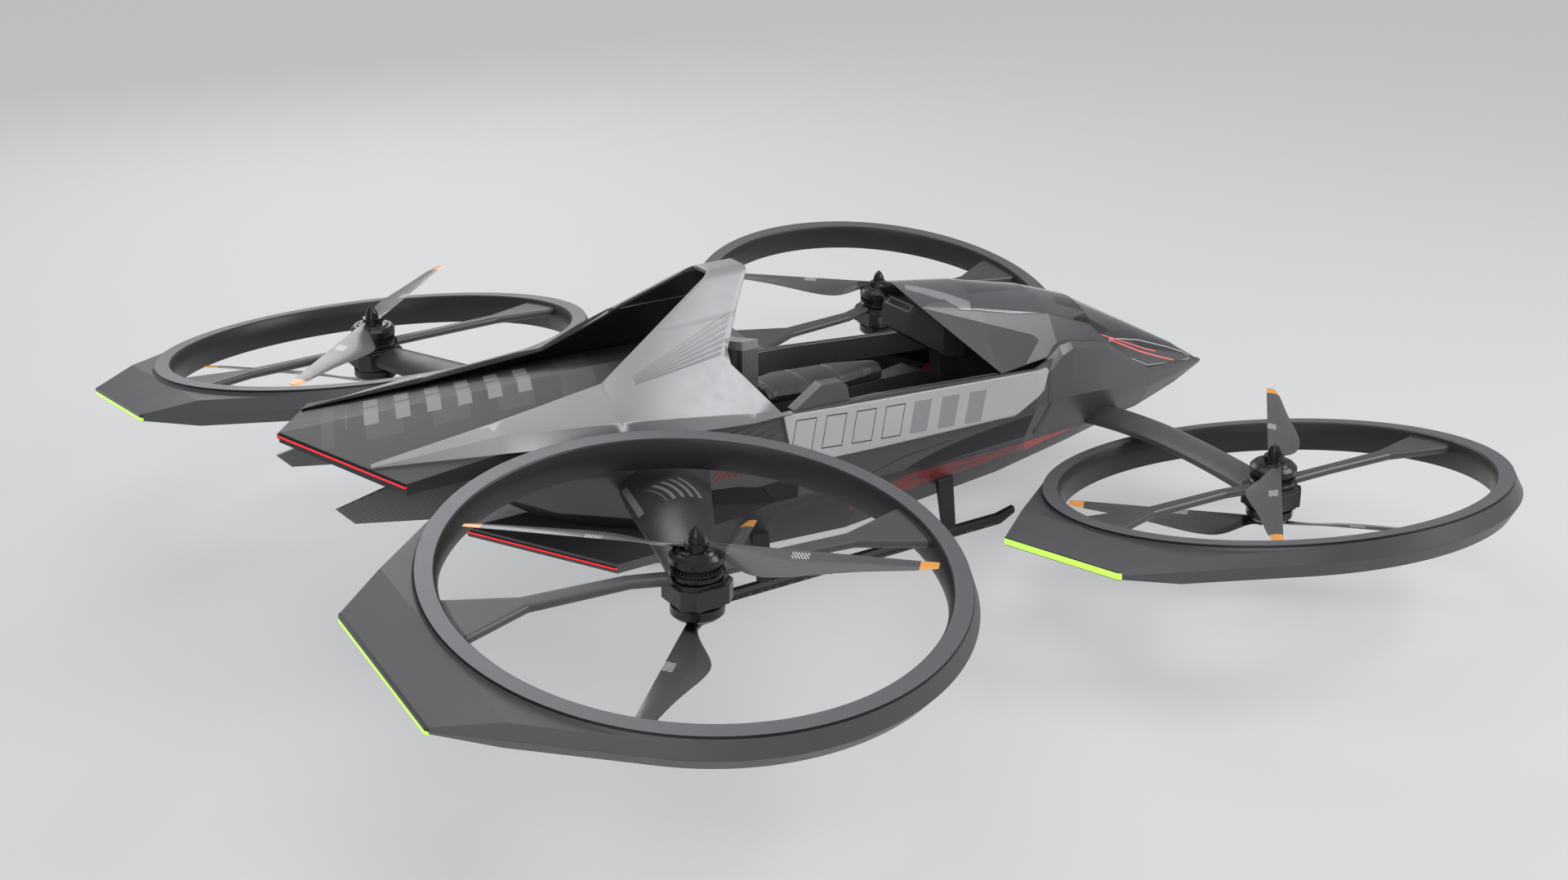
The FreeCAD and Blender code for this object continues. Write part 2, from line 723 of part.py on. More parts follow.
def tail_light(apex, corner, fall, drop):
    ax, az = apex
    cx, cy = corner
    wires = []
    for x, y in ((ax, 0), (cx, cy)):
        z = az - fall * y - drop
        low = z - tail_light_height
        far = x - tail_light_depth
        wires.append(polygon([vec(x, y, z), vec(far, y, z), vec(far, y, low), vec(x, y, low)]))
    half = ruled(wires)
    return half.fuse(flip(half))


def fin():
    plate = prism_xz(fin_outline, 0, fin_thickness)
    turn = FreeCAD.Matrix()
    turn.A23 = -fin_lean
    leaned = plate.transformGeometry(turn)
    leaned.translate(vec(0, fin_y + fin_lean * fin_outline[0][1], 0))
    return leaned


# Skins that lie on the body between two offsets
def grown(rows, extra):
    wider = []
    for x, ty, tz, hy, hz, cy, cz, ky, kz in rows:
        wider.append((x, ty + extra, tz, hy + extra, hz, cy + extra, cz, ky, kz))
    return ruled([body_wire(row) for row in wider])


def side_panel(rows):
    skin = grown(rows, skin_gap + panel_thickness).cut(grown(rows, skin_gap))
    return skin.common(prism_xz(panel_outline, side_start, wide))


def side_rail():
    near = cockpit_space(cockpit_wall + skin_gap)
    far = cockpit_space(cockpit_wall + skin_gap + rail_width)
    return near.cut(far).common(prism_xz(rail_side, side_start, wide))


def intake():
    return prism_xz(intake_side, side_start, wide).common(prism_xy(intake_plan, 0, tall))


def vents():
    # Sunk into the flank at the top edge of the section behind the cockpit
    flank = tub_rows[2][1]
    slots = []
    for x, z in vent_rows:
        end = x + vent_length
        high = z + vent_rise
        side = [(x, z), (end, high), (end, high + vent_height), (x, z + vent_height)]
        slots.append(prism_xz(side, flank - vent_depth, wide))
    return slots


# Cockpit pieces
def saddle():
    wires = []
    for x, half, top in saddle_rows:
        shoulder = top - seat_shoulder_drop
        low = top - seat_thickness
        foot = half * seat_foot_share
        crown = arc(vec(x, half, shoulder), vec(x, 0, top), vec(x, -half, shoulder))
        flank = line(vec(x, -half, shoulder), vec(x, -foot, low))
        sole = line(vec(x, -foot, low), vec(x, foot, low))
        rise = line(vec(x, foot, low), vec(x, half, shoulder))
        wires.append(Part.Wire([crown, flank, sole, rise]))
    return ruled(wires)


def tunnel():
    seat = [(x, half * tunnel_share, top - seat_thickness - soft_gap) for x, half, top in saddle_rows]
    rows = [(cockpit_rear, seat[0][1], seat[0][2])] + seat + tank_rows
    wires = []
    for x, half, z in rows:
        foot = half * tunnel_flare
        low = cockpit_floor
        wires.append(polygon([vec(x, foot, low), vec(x, half, z), vec(x, -half, z), vec(x, -foot, low)]))
    return ruled(wires)


def backrest():
    # Wrap-round plan, a dished top edge and a scoop in the face
    front = [(x, -y) for x, y in back_front] + list(reversed(back_front[:-1]))
    rear = list(reversed(back_rear[1:])) + [(x, -y) for x, y in back_rear]
    top = saddle_rows[0][2] + back_rise
    block = prism_xy(front + rear, back_foot, top + 2 * back_crown)
    half = back_front[0][1]
    high = top + back_crown
    lid = [(-half, high), (0, top), (half, high), (wide, tall), (-wide, tall)]
    face = Part.Face(polygon([vec(-wide, y, z) for y, z in lid]))
    scoop = box(scoop_floor, 0, -scoop_half_width, scoop_half_width, scoop_low, scoop_high)
    edges = [e for e in scoop.Edges if abs(e.tangentAt(e.FirstParameter).x) > 0.9]
    return block.cut(face.extrude(vec(2 * wide, 0, 0))).cut(scoop.makeFillet(scoop_half_width / 3, edges))


def dash():
    pod = prism_xz(dash_side, -dash_half_width, dash_half_width)
    x0 = dash_side[0][0]
    x1 = dash_side[3][0]
    inner = dash_half_width - dash_cheek
    rear = dash_half_width * dash_rear_share
    plan = plan_pair([(dash_side[6][0] - cut_overlap, rear), ((x0 + x1) / 2, dash_half_width),
                      (x1 - dash_cheek, dash_half_width), (x1 + cut_overlap, inner)])
    return pod.common(prism_xy(plan, 0, tall))


def dash_post():
    top = dash_side[5][1] + post_lap
    side = [(post_rear + post_rear_splay, post_foot), (post_rear, top), (post_front, top)]
    side += [(post_front + post_front_splay, post_foot)]
    return prism_xz(side, -post_half_width, post_half_width)


def skid_section(x, z, scale):
    half = skid_half_width * scale
    height = skid_height * scale
    crown = half * skid_shoulder
    shoulder = z + height * skid_shoulder
    top = z + height
    points = [(-half, z), (half, z), (half, shoulder), (crown, top), (-crown, top), (-half, shoulder)]
    return polygon([vec(x, skid_y + y, zz) for y, zz in points])


def strut(x):
    wires = []
    foot = (strut_chord * strut_foot_share, skid_y, strut_foot_height)
    head = (strut_chord, skid_y - strut_lean, strut_top)
    for chord, y, z in (foot, head):
        a = chord / 2
        w = strut_width / 2
        corners = [(x - a, y - w), (x + a, y - w), (x + a, y + w), (x - a, y + w)]
        wires.append(polygon([vec(cx, cy, z) for cx, cy in corners]))
    return ruled(wires)


def skid():
    heel = skid_section(skid_rear - skid_toe / 2, skid_heel_lift, skid_end_scale)
    toe = skid_section(skid_front + skid_toe, skid_toe_lift, skid_end_scale)
    run = ruled([heel, skid_section(skid_rear, 0.0, 1.0), skid_section(skid_front, 0.0, 1.0), toe])
    return run.fuse([strut(x) for x in strut_stations]).removeSplitter()


# Lower body: tub above the chine, nose ahead of it, belly pan below
body_rows = tub_rows + nose_rows[1:]
tub_solid = ruled([body_wire(row) for row in tub_rows])
nose_solid = ruled([body_wire(row) for row in nose_rows])
space = cockpit_space(cockpit_wall)
below = chine_block(body_rows)
scoops = [intake(), flip(intake())]
slots = vents()
slots += [flip(slot) for slot in slots]
battery = box(battery_rear, battery_front, -battery_half_width, battery_half_width, battery_low, battery_high)
belly_keep = box(belly_rear, belly_tip, -wide, wide, under, tall)
belly_space = below.common(belly_keep)
deck = tail_deck()
hull = tub_solid.fuse(nose_solid).removeSplitter()
belly_pan = hull.common(belly_space).cut(battery).cut(space).cut(scoops)
tub = tub_solid.cut(space).cut(below).cut(deck).cut(scoops).cut(slots)
cheeks = cheek().cut(nose_solid).cut(tub_solid)
nose = nose_solid.cut(space).cut(belly_space)
plate = lower_plate().cut(belly_pan).cut(tub)
hoop = hoop_unit().cut(deck).cut(tub)
panel = side_panel(body_rows).cut(hoop).cut(cheeks)
fins = fin().cut(tub).cut(deck).cut(belly_pan)

# Canopy, parted into frame, clear roof, side windows and lamp glass
shell = canopy_shell().cut(nose_solid).cut(tub_solid).cut([cheeks, flip(cheeks)])
lamp_glass = shell.common(lamp_zone())
roof_glass = shell.common(roof_zone()).cut(lamp_zone())
windows = shell.common(window_zone())
canopy_frame = shell.cut(roof_zone()).cut(lamp_zone()).cut(window_zone())

# Cockpit fittings
spine = tunnel()
pod = dash()
rail = side_rail()
back = backrest().cut(tub_solid).cut(hoop)
control = prism_xz(control_side, -control_outer, -control_inner).cut(tub_solid).cut(flip(rail))

write("body_tub", tub)
write("nose_shell", nose)
write("nose_cheeks", both(cheeks))
write("belly_pan", belly_pan)
write("battery_pack", battery)
write("tail_deck", deck)
write("lower_tail_plate", plate)
upper_light = tail_light(tail_apex, tail_corner, deck_fall, tail_light_drop)
lower_light = tail_light(lower_apex, lower_corner, lower_fall, lower_light_drop)
write("tail_lights", Part.makeCompound([upper_light, lower_light]))
write("ventral_fins", both(fins))
write("roll_hoop", hoop)
write("side_panels", both(panel))
write("canopy_glass", roof_glass)
write("canopy_frame", canopy_frame)
write("side_windows", windows)
write("nose_lamp_glass", lamp_glass)
write("saddle_tunnel", spine)
write("saddle", saddle())
write("backrest", back)
write("dash_pod", pod)
write("dash_post", dash_post().cut(pod).cut(spine))
write("side_rails", both(rail))
write("side_control", control)
write("landing_skids", both(skid().cut(belly_pan)))

# Rotor stations
ring = ring_unit()
light = ring_light()
hub = hub_unit()
lights = []
for end in ("rear", "front"):
    place, cant = rotor_place(end)
    angle = top_blade_angle[end]
    bell_room = cylinder(motor_radius + arm_wall, -hub_top_drop, motor_top)
    hub_solid = put(hub, place, 0)
    room = hub_solid.fuse(put(bell_room, place, 0))
    ring_solid = put(ring, place, cant).cut(room)
    root, rows = (rear_arm_root, rear_arm_rows) if end == "rear" else (front_arm_root, front_arm_rows)
    arm_solid = arm(root, rows, place).cut(room).cut(ring_solid).cut(tub_solid.fuse(nose_solid)).cut(cheeks)
    light_solid = put(light, place, cant)
    top = put(top_rotor(angle, 1), place, 0)
    low = put(low_rotor(angle + 90, -1), place, 0)
    pieces = {"ring": ring_solid, "arm": arm_solid, "hub": hub_solid, "rotor_top": top, "rotor_low": low}
    for name, piece in pieces.items():
        write(name + "_" + end + "_left", piece)
        write(name + "_" + end + "_right", flip(piece))
    lights += [light_solid, flip(light_solid)]
write("ring_lights", Part.makeCompound(lights))
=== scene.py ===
import bpy
import math
from mathutils import Matrix, Vector


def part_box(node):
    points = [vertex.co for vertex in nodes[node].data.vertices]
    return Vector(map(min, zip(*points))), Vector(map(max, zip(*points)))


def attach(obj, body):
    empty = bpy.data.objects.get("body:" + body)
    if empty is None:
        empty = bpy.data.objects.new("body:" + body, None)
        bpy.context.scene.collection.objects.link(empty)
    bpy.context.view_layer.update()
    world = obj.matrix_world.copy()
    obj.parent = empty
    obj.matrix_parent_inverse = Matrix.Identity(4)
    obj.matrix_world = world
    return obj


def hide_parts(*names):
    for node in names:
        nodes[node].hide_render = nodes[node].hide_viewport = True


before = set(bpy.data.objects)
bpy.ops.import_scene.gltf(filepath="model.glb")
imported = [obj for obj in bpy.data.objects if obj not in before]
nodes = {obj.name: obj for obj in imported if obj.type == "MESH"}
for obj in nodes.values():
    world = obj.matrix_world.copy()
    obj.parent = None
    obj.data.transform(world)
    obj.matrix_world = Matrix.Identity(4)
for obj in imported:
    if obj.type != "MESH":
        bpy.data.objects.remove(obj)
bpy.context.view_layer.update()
print("frame loaded:", len(nodes), "nodes")

# Where the rotor stations are, in metres, and how the rings and blades are turned
shiftX = 0.09
stationX = {"rear": shiftX - 1.416, "front": shiftX + 1.416}
stationY = {"left": 1.433, "right": -1.433}
stationZ = {"rear": 0.860, "front": 0.537}
ringCant = {"rear": math.radians(8.2), "front": math.radians(-9.6)}
bladeAngle = {"rear": 45.0, "front": 135.0}
propRadius = 0.846
stations = [(end, side) for end in ("rear", "front") for side in ("left", "right")]


def stationAt(end, side):
    return stationX[end], stationY[side], stationZ[end]


class Wire:
    # One output socket; sums written with it add Math nodes
    def __init__(self, finish, out):
        self.finish = finish
        self.out = out

    def calc(self, operation, *values):
        return self.finish.node("ShaderNodeMath", {"operation": operation}, list(values))

    def __add__(self, other):
        return self.calc("ADD", self, other)

    def __radd__(self, other):
        return self.calc("ADD", other, self)

    def __sub__(self, other):
        return self.calc("SUBTRACT", self, other)

    def __rsub__(self, other):
        return self.calc("SUBTRACT", other, self)

    def __mul__(self, other):
        return self.calc("MULTIPLY", self, other)

    def __rmul__(self, other):
        return self.calc("MULTIPLY", other, self)

    def __truediv__(self, other):
        return self.calc("DIVIDE", self, other)

    def __rtruediv__(self, other):
        return self.calc("DIVIDE", other, self)

    def __abs__(self):
        return self.calc("ABSOLUTE", self)

    def __lt__(self, other):
        return self.calc("LESS_THAN", self, other)

    def __gt__(self, other):
        return self.calc("GREATER_THAN", self, other)

    def sine(self):
        return self.calc("SINE", self)

    def fraction(self):
        return self.calc("FRACT", self)

    def floor(self):
        return self.calc("FLOOR", self)

    def root(self):
        return self.calc("SQRT", self)

    def either(self, other):
        return self.calc("MAXIMUM", self, other)

    def between(self, low, high):
        return (self > low) * (self < high)


class Finish:
    # A material and its nodes, with one way to add any node
    def __init__(self, name, **constants):
        self.material = bpy.data.materials.new(name)
        self.material.use_nodes = True
        self.tree = self.material.node_tree
        self.shader = self.tree.nodes["Principled BSDF"]
        for socket, value in constants.items():
            target = self.shader.inputs[socket.replace("_", " ")]
            target.default_value = (*value, 1.0) if isinstance(value, tuple) else value
        self.material.diffuse_color = self.shader.inputs["Base Color"].default_value

    def node(self, kind, settings=None, values=(), output=0):
        made = self.tree.nodes.new(kind)
        for key, value in (settings or {}).items():
            setattr(made, key, value)
        pairs = values.items() if isinstance(values, dict) else enumerate(values)
        for key, value in pairs:
            if isinstance(value, Wire):
                self.tree.links.new(value.out, made.inputs[key])
            elif isinstance(value, tuple) and len(value) == 3 and made.inputs[key].type == "RGBA":
                made.inputs[key].default_value = (*value, 1.0)
            else:
                made.inputs[key].default_value = value
        return Wire(self, made.outputs[output])

    def feed(self, socket, wire):
        self.tree.links.new(wire.out, self.shader.inputs[socket])

    def place(self, at=(0.0, 0.0, 0.0), turn=(0.0, 0.0, 0.0)):
        here = self.node("ShaderNodeTexCoord", output="Object")
        return self.node("ShaderNodeMapping", {"vector_type": "TEXTURE"}, [here, at, turn])

    def axes(self, place):
        return [self.node("ShaderNodeSeparateXYZ", {}, [place], k) for k in range(3)]

    def normals(self):
        # The way the surface faces, along each axis
        facing = self.node("ShaderNodeNewGeometry", output="Normal")
        return self.axes(facing)

    def noise(self, place, scale, detail=2.0, roughness=0.5):
        values = {"Vector": place, "Scale": scale, "Detail": detail, "Roughness": roughness}
        return self.node("ShaderNodeTexNoise", {}, values)

    def blendColour(self, mask, first, second):
        return self.node("ShaderNodeMix", {"data_type": "RGBA"}, {0: mask, 6: first, 7: second}, 2)

    def scaleTo(self, wire, low, high):
        return wire * (high - low) + low

    def bump(self, height, strength, distance=0.001, round=None):
        values = {"Strength": strength, "Distance": distance, "Height": height}
        if round is not None:
            values["Normal"] = round
        return self.node("ShaderNodeBump", {}, values)

    def roundEdge(self, radius, samples=6):
        # Softens the look of sharp edges, as paint and moulding do
        return self.node("ShaderNodeBevel", {"samples": samples}, {"Radius": radius})

    def stroke(self, u, v, start, end, width):
        # A straight line between two points of the plane u, v
        du, dv = end[0] - start[0], end[1] - start[1]
        length = math.hypot(du, dv)
        du, dv = du / length, dv / length
        along = (u - start[0]) * du + (v - start[1]) * dv
        across = abs((u - start[0]) * dv - (v - start[1]) * du)
        return (across < width / 2) * along.between(0.0, length)

    def strokes(self, u, v, lines):
        # Several such lines, each with its two ends and its width, as one mask
        mask = self.stroke(u, v, *lines[0])
        for line in lines[1:]:
            mask = mask.either(self.stroke(u, v, *line))
        return mask

    def weave(self, u, v, pitch):
        # Diamond cloth: two crossed waves
        turn = math.pi / pitch
        return ((u + v) * turn).sine() * ((u - v) * turn).sine() > 0.0

    def cover(self, *names):
        for name in names:
            mesh = nodes[name].data
            mesh.materials.clear()
            mesh.materials.append(self.material)


# What the user may change on the painted shells
shellLook = {
    "grey": (0.092, 0.092, 0.098), "greyLight": (0.112, 0.112, 0.119), "roughness": 0.40,
    "metallic": 0.45, "nose": (0.118, 0.118, 0.125), "noseLight": (0.138, 0.138, 0.146),
    "red": (0.62, 0.012, 0.016), "seam": (0.012, 0.012, 0.013), "seamWidth": 0.004,
}

# What the user may change on every sprayed coat: noise as scale, detail and roughness, relief in metres
coatLook = {
    "cloud": (3.0, 3.0), "smear": (14.0, 4.0, 0.6), "peel": (900.0, 1.0), "gloss": (-0.06, 0.08),
    "relief": (0.12, 0.0004), "softEdge": 0.005,
}


def satinPaint(name, base, lighter, roughness, metallic):
    # Sprayed satin coat: slight cloudiness, fine orange peel, a little dust in the gloss
    look = coatLook
    finish = Finish(name, Metallic=metallic, Roughness=roughness)
    here = finish.place()
    cloud = finish.noise(here, *look["cloud"])
    colour = finish.blendColour(cloud, base, lighter)
    smear = finish.noise(here, *look["smear"])
    peel = finish.noise(here, *look["peel"])
    low, high = look["gloss"]
    finish.feed("Roughness", finish.scaleTo(smear, roughness + low, roughness + high))
    finish.feed("Normal", finish.bump(peel, *look["relief"], finish.roundEdge(look["softEdge"])))
    finish.feed("Base Color", colour)
    return finish, here, colour


def shellPaint(name, base="grey"):
    # The coat of the shells, in one of their two greys
    look = shellLook
    return satinPaint(name, look[base], look[base + "Light"], look["roughness"], look["metallic"])


def makeShell():
    finish = shellPaint("shellGrey", "nose")[0]
    finish.cover("nose_shell", "nose_cheeks", "canopy_frame", "lower_tail_plate", "side_control")


# What the user may change on the rings: radii in metres from the rotor axis, heights from the rim
ringLook = {
    # The rim's lighter colour is painted light, the inner wall's dark colour is painted shade
    "rim": (0.906, 0.968), "rimPaintedLight": (0.165, 0.165, 0.178), "rimDepth": -0.002,
    "joint": (0.9685, 0.9725), "jointDepth": -0.03, "inner": (0.880, 0.9045),
    "innerPaintedShade": (0.022, 0.022, 0.024), "innerMetallic": 0.10,
}


def makeRingShell():
    # Rings: painted light on the flat rim, painted shade darkening the inner wall, a thin joint line where the
    # wedge starts
    look = ringLook
    for end, side in stations:
        name = "_" + end + "_" + side
        finish, here, colour = shellPaint("ringShell" + name)
        turn = -ringCant[end] if side == "left" else ringCant[end]
        local = finish.place(stationAt(end, side), (turn, 0.0, 0.0))
        x, y, z = finish.axes(local)
        radius = (x * x + y * y).root()
        rim = radius.between(*look["rim"]) * (z > look["rimDepth"])
        joint = radius.between(*look["joint"]) * (z > look["jointDepth"])
        inner = radius.between(*look["inner"])
        # Painted light lightens the flat rim, painted shade darkens the inner wall of the duct
        toned = finish.blendColour(rim, colour, look["rimPaintedLight"])
        toned = finish.blendColour(inner, toned, look["innerPaintedShade"])
        toned = finish.blendColour(joint, toned, shellLook["seam"])
        finish.feed("Base Color", toned)
        finish.feed("Metallic", finish.scaleTo(inner, shellLook["metallic"], look["innerMetallic"]))
        finish.cover("ring" + name)


# What the user may change on the tub: limits in x, y and z, and strokes in x and z, in metres
tubLook = {
    "inside": (0.018, 0.018, 0.020), "roomHalf": 0.362, "roomX": (-0.309, 1.09), "roomFloor": 0.425,
    "scoopX": (-0.66, -0.21), "scoopHalf": 0.398, "scoopZ": (0.28, 0.60), "flank": 0.37,
    "seams": [((0.165, 0.483), (0.338, 0.520)), ((0.338, 0.520), (0.92, 0.551)),
              ((-0.183, 0.419), (0.165, 0.483)), ((-0.313, 0.700), (-0.60, 0.742))],
    "flashX": (-0.64, -0.42), "flashZ": (0.640, 0.715), "flashLean": 0.8, "flashPitch": 34.0,
    "flashShare": 0.4, "flashColour": (0.30, 0.010, 0.012), "accentSide": 0.25,
    "accent": [((0.86, 0.485), (1.07, 0.600), 0.030), ((0.80, 0.47), (0.98, 0.49), 0.016)],
}


def makeTubShell():
    # Dark cockpit and scoops, seams along the flank, red flashes and one red accent in the footwell
    look = tubLook
    finish, here, colour = shellPaint("tubShell")
    x, y, z = finish.axes(here)
    width = abs(y)
    room = (width < look["roomHalf"]) * x.between(*look["roomX"]) * (z > look["roomFloor"])
    scoop = x.between(*look["scoopX"]) * (width < look["scoopHalf"]) * z.between(*look["scoopZ"])
    outside = width > look["flank"]
    seams = finish.strokes(x, z, [(start, end, shellLook["seamWidth"]) for start, end in look["seams"]])
    flashes = ((x - z * look["flashLean"]) * look["flashPitch"]).fraction() < look["flashShare"]
    flashes = flashes * x.between(*look["flashX"]) * z.between(*look["flashZ"]) * outside
    accent = finish.strokes(x, z, look["accent"]) * (y > look["accentSide"]) * (width < look["roomHalf"])
    toned = finish.blendColour(room.either(scoop), colour, look["inside"])
    toned = finish.blendColour(seams * outside, toned, shellLook["seam"])
    toned = finish.blendColour(flashes, toned, look["flashColour"])
    toned = finish.blendColour(accent, toned, shellLook["red"])
    finish.feed("Base Color", toned)
    finish.cover("body_tub")


# What the user may change on the belly: limits in metres, lines counted across the zone
bellyLook = {
    "black": (0.020, 0.020, 0.022), "blackLight": (0.030, 0.030, 0.032), "roughness": 0.38,
    "metallic": 0.2, "zoneX": (0.16, 1.30), "zoneTop": (0.408, 0.030, 0.21),
    "zoneDepth": (0.150, 0.105, 0.30), "lanes": 12.0, "lineShare": 0.46, "dash": 7.0, "stagger": 3.7,
    "gap": 0.40, "line": (0.56, 0.012, 0.016), "flashX": (1.12, 1.50), "flashTop": (0.392, 0.02, 1.47),
    "flashFoot": (0.366, 0.22), "flashNose": (0.360, 0.9), "floorHalf": 0.362, "floorX": (-0.309, 1.2),
    "floorZ": 0.40, "floor": (0.012, 0.012, 0.013),
}


def makeBelly():
    # Black belly with thin broken red lines that run forward to a solid red flash
    look = bellyLook
    coat = [look[key] for key in ("black", "blackLight", "roughness", "metallic")]
    finish, here, colour = satinPaint("bellyBlack", *coat)
    x, y, z = finish.axes(here)
    high, topSlope, topX = look["zoneTop"]
    deep, taper, deepX = look["zoneDepth"]
    drop = high - (x - topX) * topSlope - z
    share = drop / (deep - (x - deepX) * taper)
    zone = share.between(0.0, 1.0) * x.between(*look["zoneX"])
    lane = share * look["lanes"]
    thin = lane.fraction() < look["lineShare"]
    row = finish.node("ShaderNodeCombineXYZ", {}, [x * look["dash"], lane.floor() * look["stagger"], 0.0])
    broken = finish.noise(row, 1.0, 1.0) > look["gap"]
    start, end = look["flashX"]
    topZ, topFall, frontX = look["flashTop"]
    footZ, footFall = look["flashFoot"]
    noseZ, noseRise = look["flashNose"]
    flash = x.between(start, end) * (z < topZ - (frontX - x) * topFall) * (z > footZ - (end - x) * footFall)
    flash = flash * ((x - start) * noseRise > noseZ - z)
    floor = (abs(y) < look["floorHalf"]) * (z > look["floorZ"]) * x.between(*look["floorX"])
    toned = finish.blendColour(zone * thin * broken, colour, look["line"])
    toned = finish.blendColour(flash, toned, shellLook["red"])
    toned = finish.blendColour(floor, toned, look["floor"])
    finish.feed("Base Color", toned)
    finish.cover("belly_pan")


# What the user may change on the hoop's paint: the fan's lines meet at its point in x and z
silverLook = {
    "hoop": (0.31, 0.31, 0.322), "hoopLight": (0.35, 0.35, 0.362), "hoopRoughness": 0.42,
    "hoopMetallic": 0.4, "fanPoint": (-1.053, 1.088), "fanLines": 31.0, "fanShare": 0.74,
    "fanSlope": (0.060, 0.275), "fanRear": -0.93, "fanFront": (-0.292, 0.785, 1.400),
    # The inner colour is painted shade, laid on faces turned inward or downward
    "fanColour": (0.175, 0.175, 0.185), "inner": (0.030, 0.030, 0.033), "shadeTop": 1.41,
    "fanFade": (1.15, 2.9), "shadeFacing": (-0.5, -0.8),
}


def makeHoopSilver():
    # Satin silver hoop: a fan of dark lines on each leg, painted shade on the faces turned inward or downward
    look = silverLook
    coat = [look[key] for key in ("hoop", "hoopLight", "hoopRoughness", "hoopMetallic")]
    finish, here, colour = satinPaint("hoopSilver", *coat)
    x, y, z = finish.axes(here)
    nx, ny, nz = finish.normals()
    outward = ny * ((y > 0.0) * 2.0 - 1.0)
    slope = (z - look["fanPoint"][1]) / (x - look["fanPoint"][0])
    fan = (slope * look["fanLines"]).fraction() < look["fanShare"]
    frontX, lean, frontZ = look["fanFront"]
    front = frontX - (frontZ - z) * lean
    fan = fan * slope.between(*look["fanSlope"]) * (x > look["fanRear"]) * (x < front) * (outward > 0.0)
    strong, fade = look["fanFade"]
    toned = finish.blendColour(fan * (strong - slope * fade), colour, look["fanColour"])
    # Painted shade: faces turned inward or downward, below the top, take the dark inner colour
    inward, down = look["shadeFacing"]
    shadedFaces = (outward < inward).either(nz < down) * (z < look["shadeTop"])
    finish.feed("Base Color", finish.blendColour(shadedFaces, toned, look["inner"]))
    finish.cover("roll_hoop")


# What the user may change on the side panels: slanted cells along x, limits in metres
panelLook = {
    "silver": (0.56, 0.56, 0.575), "silverLight": (0.62, 0.62, 0.635), "roughness": 0.38,
    "metallic": 0.35, "lean": 0.28, "cells": 6.4, "rise": 0.075, "height": (0.662, 0.802), "line": 0.005,
    "outlineX": (-0.47, 0.155), "tonalX": (0.155, 0.60), "outline": (0.05, 0.05, 0.055),
    "tonal": (0.38, 0.38, 0.395), "outerShare": (0.10, 0.78), "hollowShare": (0.125, 0.755),
    "tonalShare": (0.10, 0.72),
}


def makePanels():
    # Silver side panels: plain outlined blocks, then plain tonal bars
    look = panelLook
    coat = [look[key] for key in ("silver", "silverLight", "roughness", "metallic")]
    finish, here, colour = satinPaint("panelSilver", *coat)
    x, y, z = finish.axes(here)
    lean = x - z * look["lean"]
    cell = (lean * look["cells"]).fraction()
    height = z + x * look["rise"]
    low, high = look["height"]
    block = height.between(low, high)
    hollow = cell.between(*look["hollowShare"]) * height.between(low + look["line"], high - look["line"])
    outline = cell.between(*look["outerShare"]) * (1.0 - hollow) * block * lean.between(*look["outlineX"])
    tonal = cell.between(*look["tonalShare"]) * block * lean.between(*look["tonalX"])
    toned = finish.blendColour(outline, colour, look["outline"])
    finish.feed("Base Color", finish.blendColour(tonal, toned, look["tonal"]))
    finish.cover("side_panels")


# What the user may change on the tail deck: bars for each metre, limits in metres
deckLook = {
    "dark": (0.036, 0.036, 0.038), "darkLight": (0.046, 0.046, 0.049), "roughness": 0.36, "metallic": 0.2,
    "lean": 0.385, "largePitch": 3.6, "largeShare": 0.55, "largeY": (-0.17, 0.32),
    "largeX": (-2.12, -0.90), "largeColour": (0.062, 0.062, 0.066), "smallPitch": 7.7, "smallShare": 0.46,
    "smallX": (-2.02, -1.22), "smallNear": (-0.075, 0.105), "smallFar": (0.130, 0.275),
    "smallColour": (0.22, 0.22, 0.23), "upFacing": 0.5,
}


def makeDeck():
    # Tail deck: dark satin with tonal slanted bars and two rows of plain light blocks
    look = deckLook
    coat = [look[key] for key in ("dark", "darkLight", "roughness", "metallic")]
    finish, here, colour = satinPaint("deckDark", *coat)
    x, y, z = finish.axes(here)
    nx, ny, nz = finish.normals()
    up = nz > look["upFacing"]
    lean = x - y * look["lean"]
    large = (lean * look["largePitch"]).fraction() < look["largeShare"]
    large = large * y.between(*look["largeY"]) * lean.between(*look["largeX"])
    small = ((lean * look["smallPitch"]).fraction() < look["smallShare"]) * lean.between(*look["smallX"])
    small = small * y.between(*look["smallNear"]).either(y.between(*look["smallFar"]))
    toned = finish.blendColour(large * up, colour, look["largeColour"])
    finish.feed("Base Color", finish.blendColour(small * up, toned, look["smallColour"]))
    finish.cover("tail_deck")


# What the user may change on the woven parts, in metres
weaveLook = {"sheen": (9.0, 2.0), "roughness": (0.26, 0.42), "relief": (0.25, 0.0003)}
carbonLook = {
    "dark": (0.045, 0.045, 0.046), "light": (0.20, 0.20, 0.205), "pitch": 0.007, "roughness": 0.34,
    "coat": 0.5, "coatRoughness": 0.12, "rim": (0.30, 0.30, 0.31), "rimX": (-0.40, -0.20), "rimZ": 1.075,
    "lay": (0.6, 0.4),
}


def weaveColour(finish, place, u, v, look):
    # Woven cloth under lacquer: its two tones, a soft sheen and a fine relief
    cloth = finish.weave(u, v, look["pitch"])
    sheen = finish.noise(place, *weaveLook["sheen"])
    finish.feed("Roughness", finish.scaleTo(sheen, *weaveLook["roughness"]))
    finish.feed("Normal", finish.bump(cloth, *weaveLook["relief"]))
    return finish.blendColour(cloth, look["dark"], look["light"])


def lacqueredFinish(name, look):
    return Finish(name, Roughness=look["roughness"], Coat_Weight=look["coat"],
                  Coat_Roughness=look["coatRoughness"])


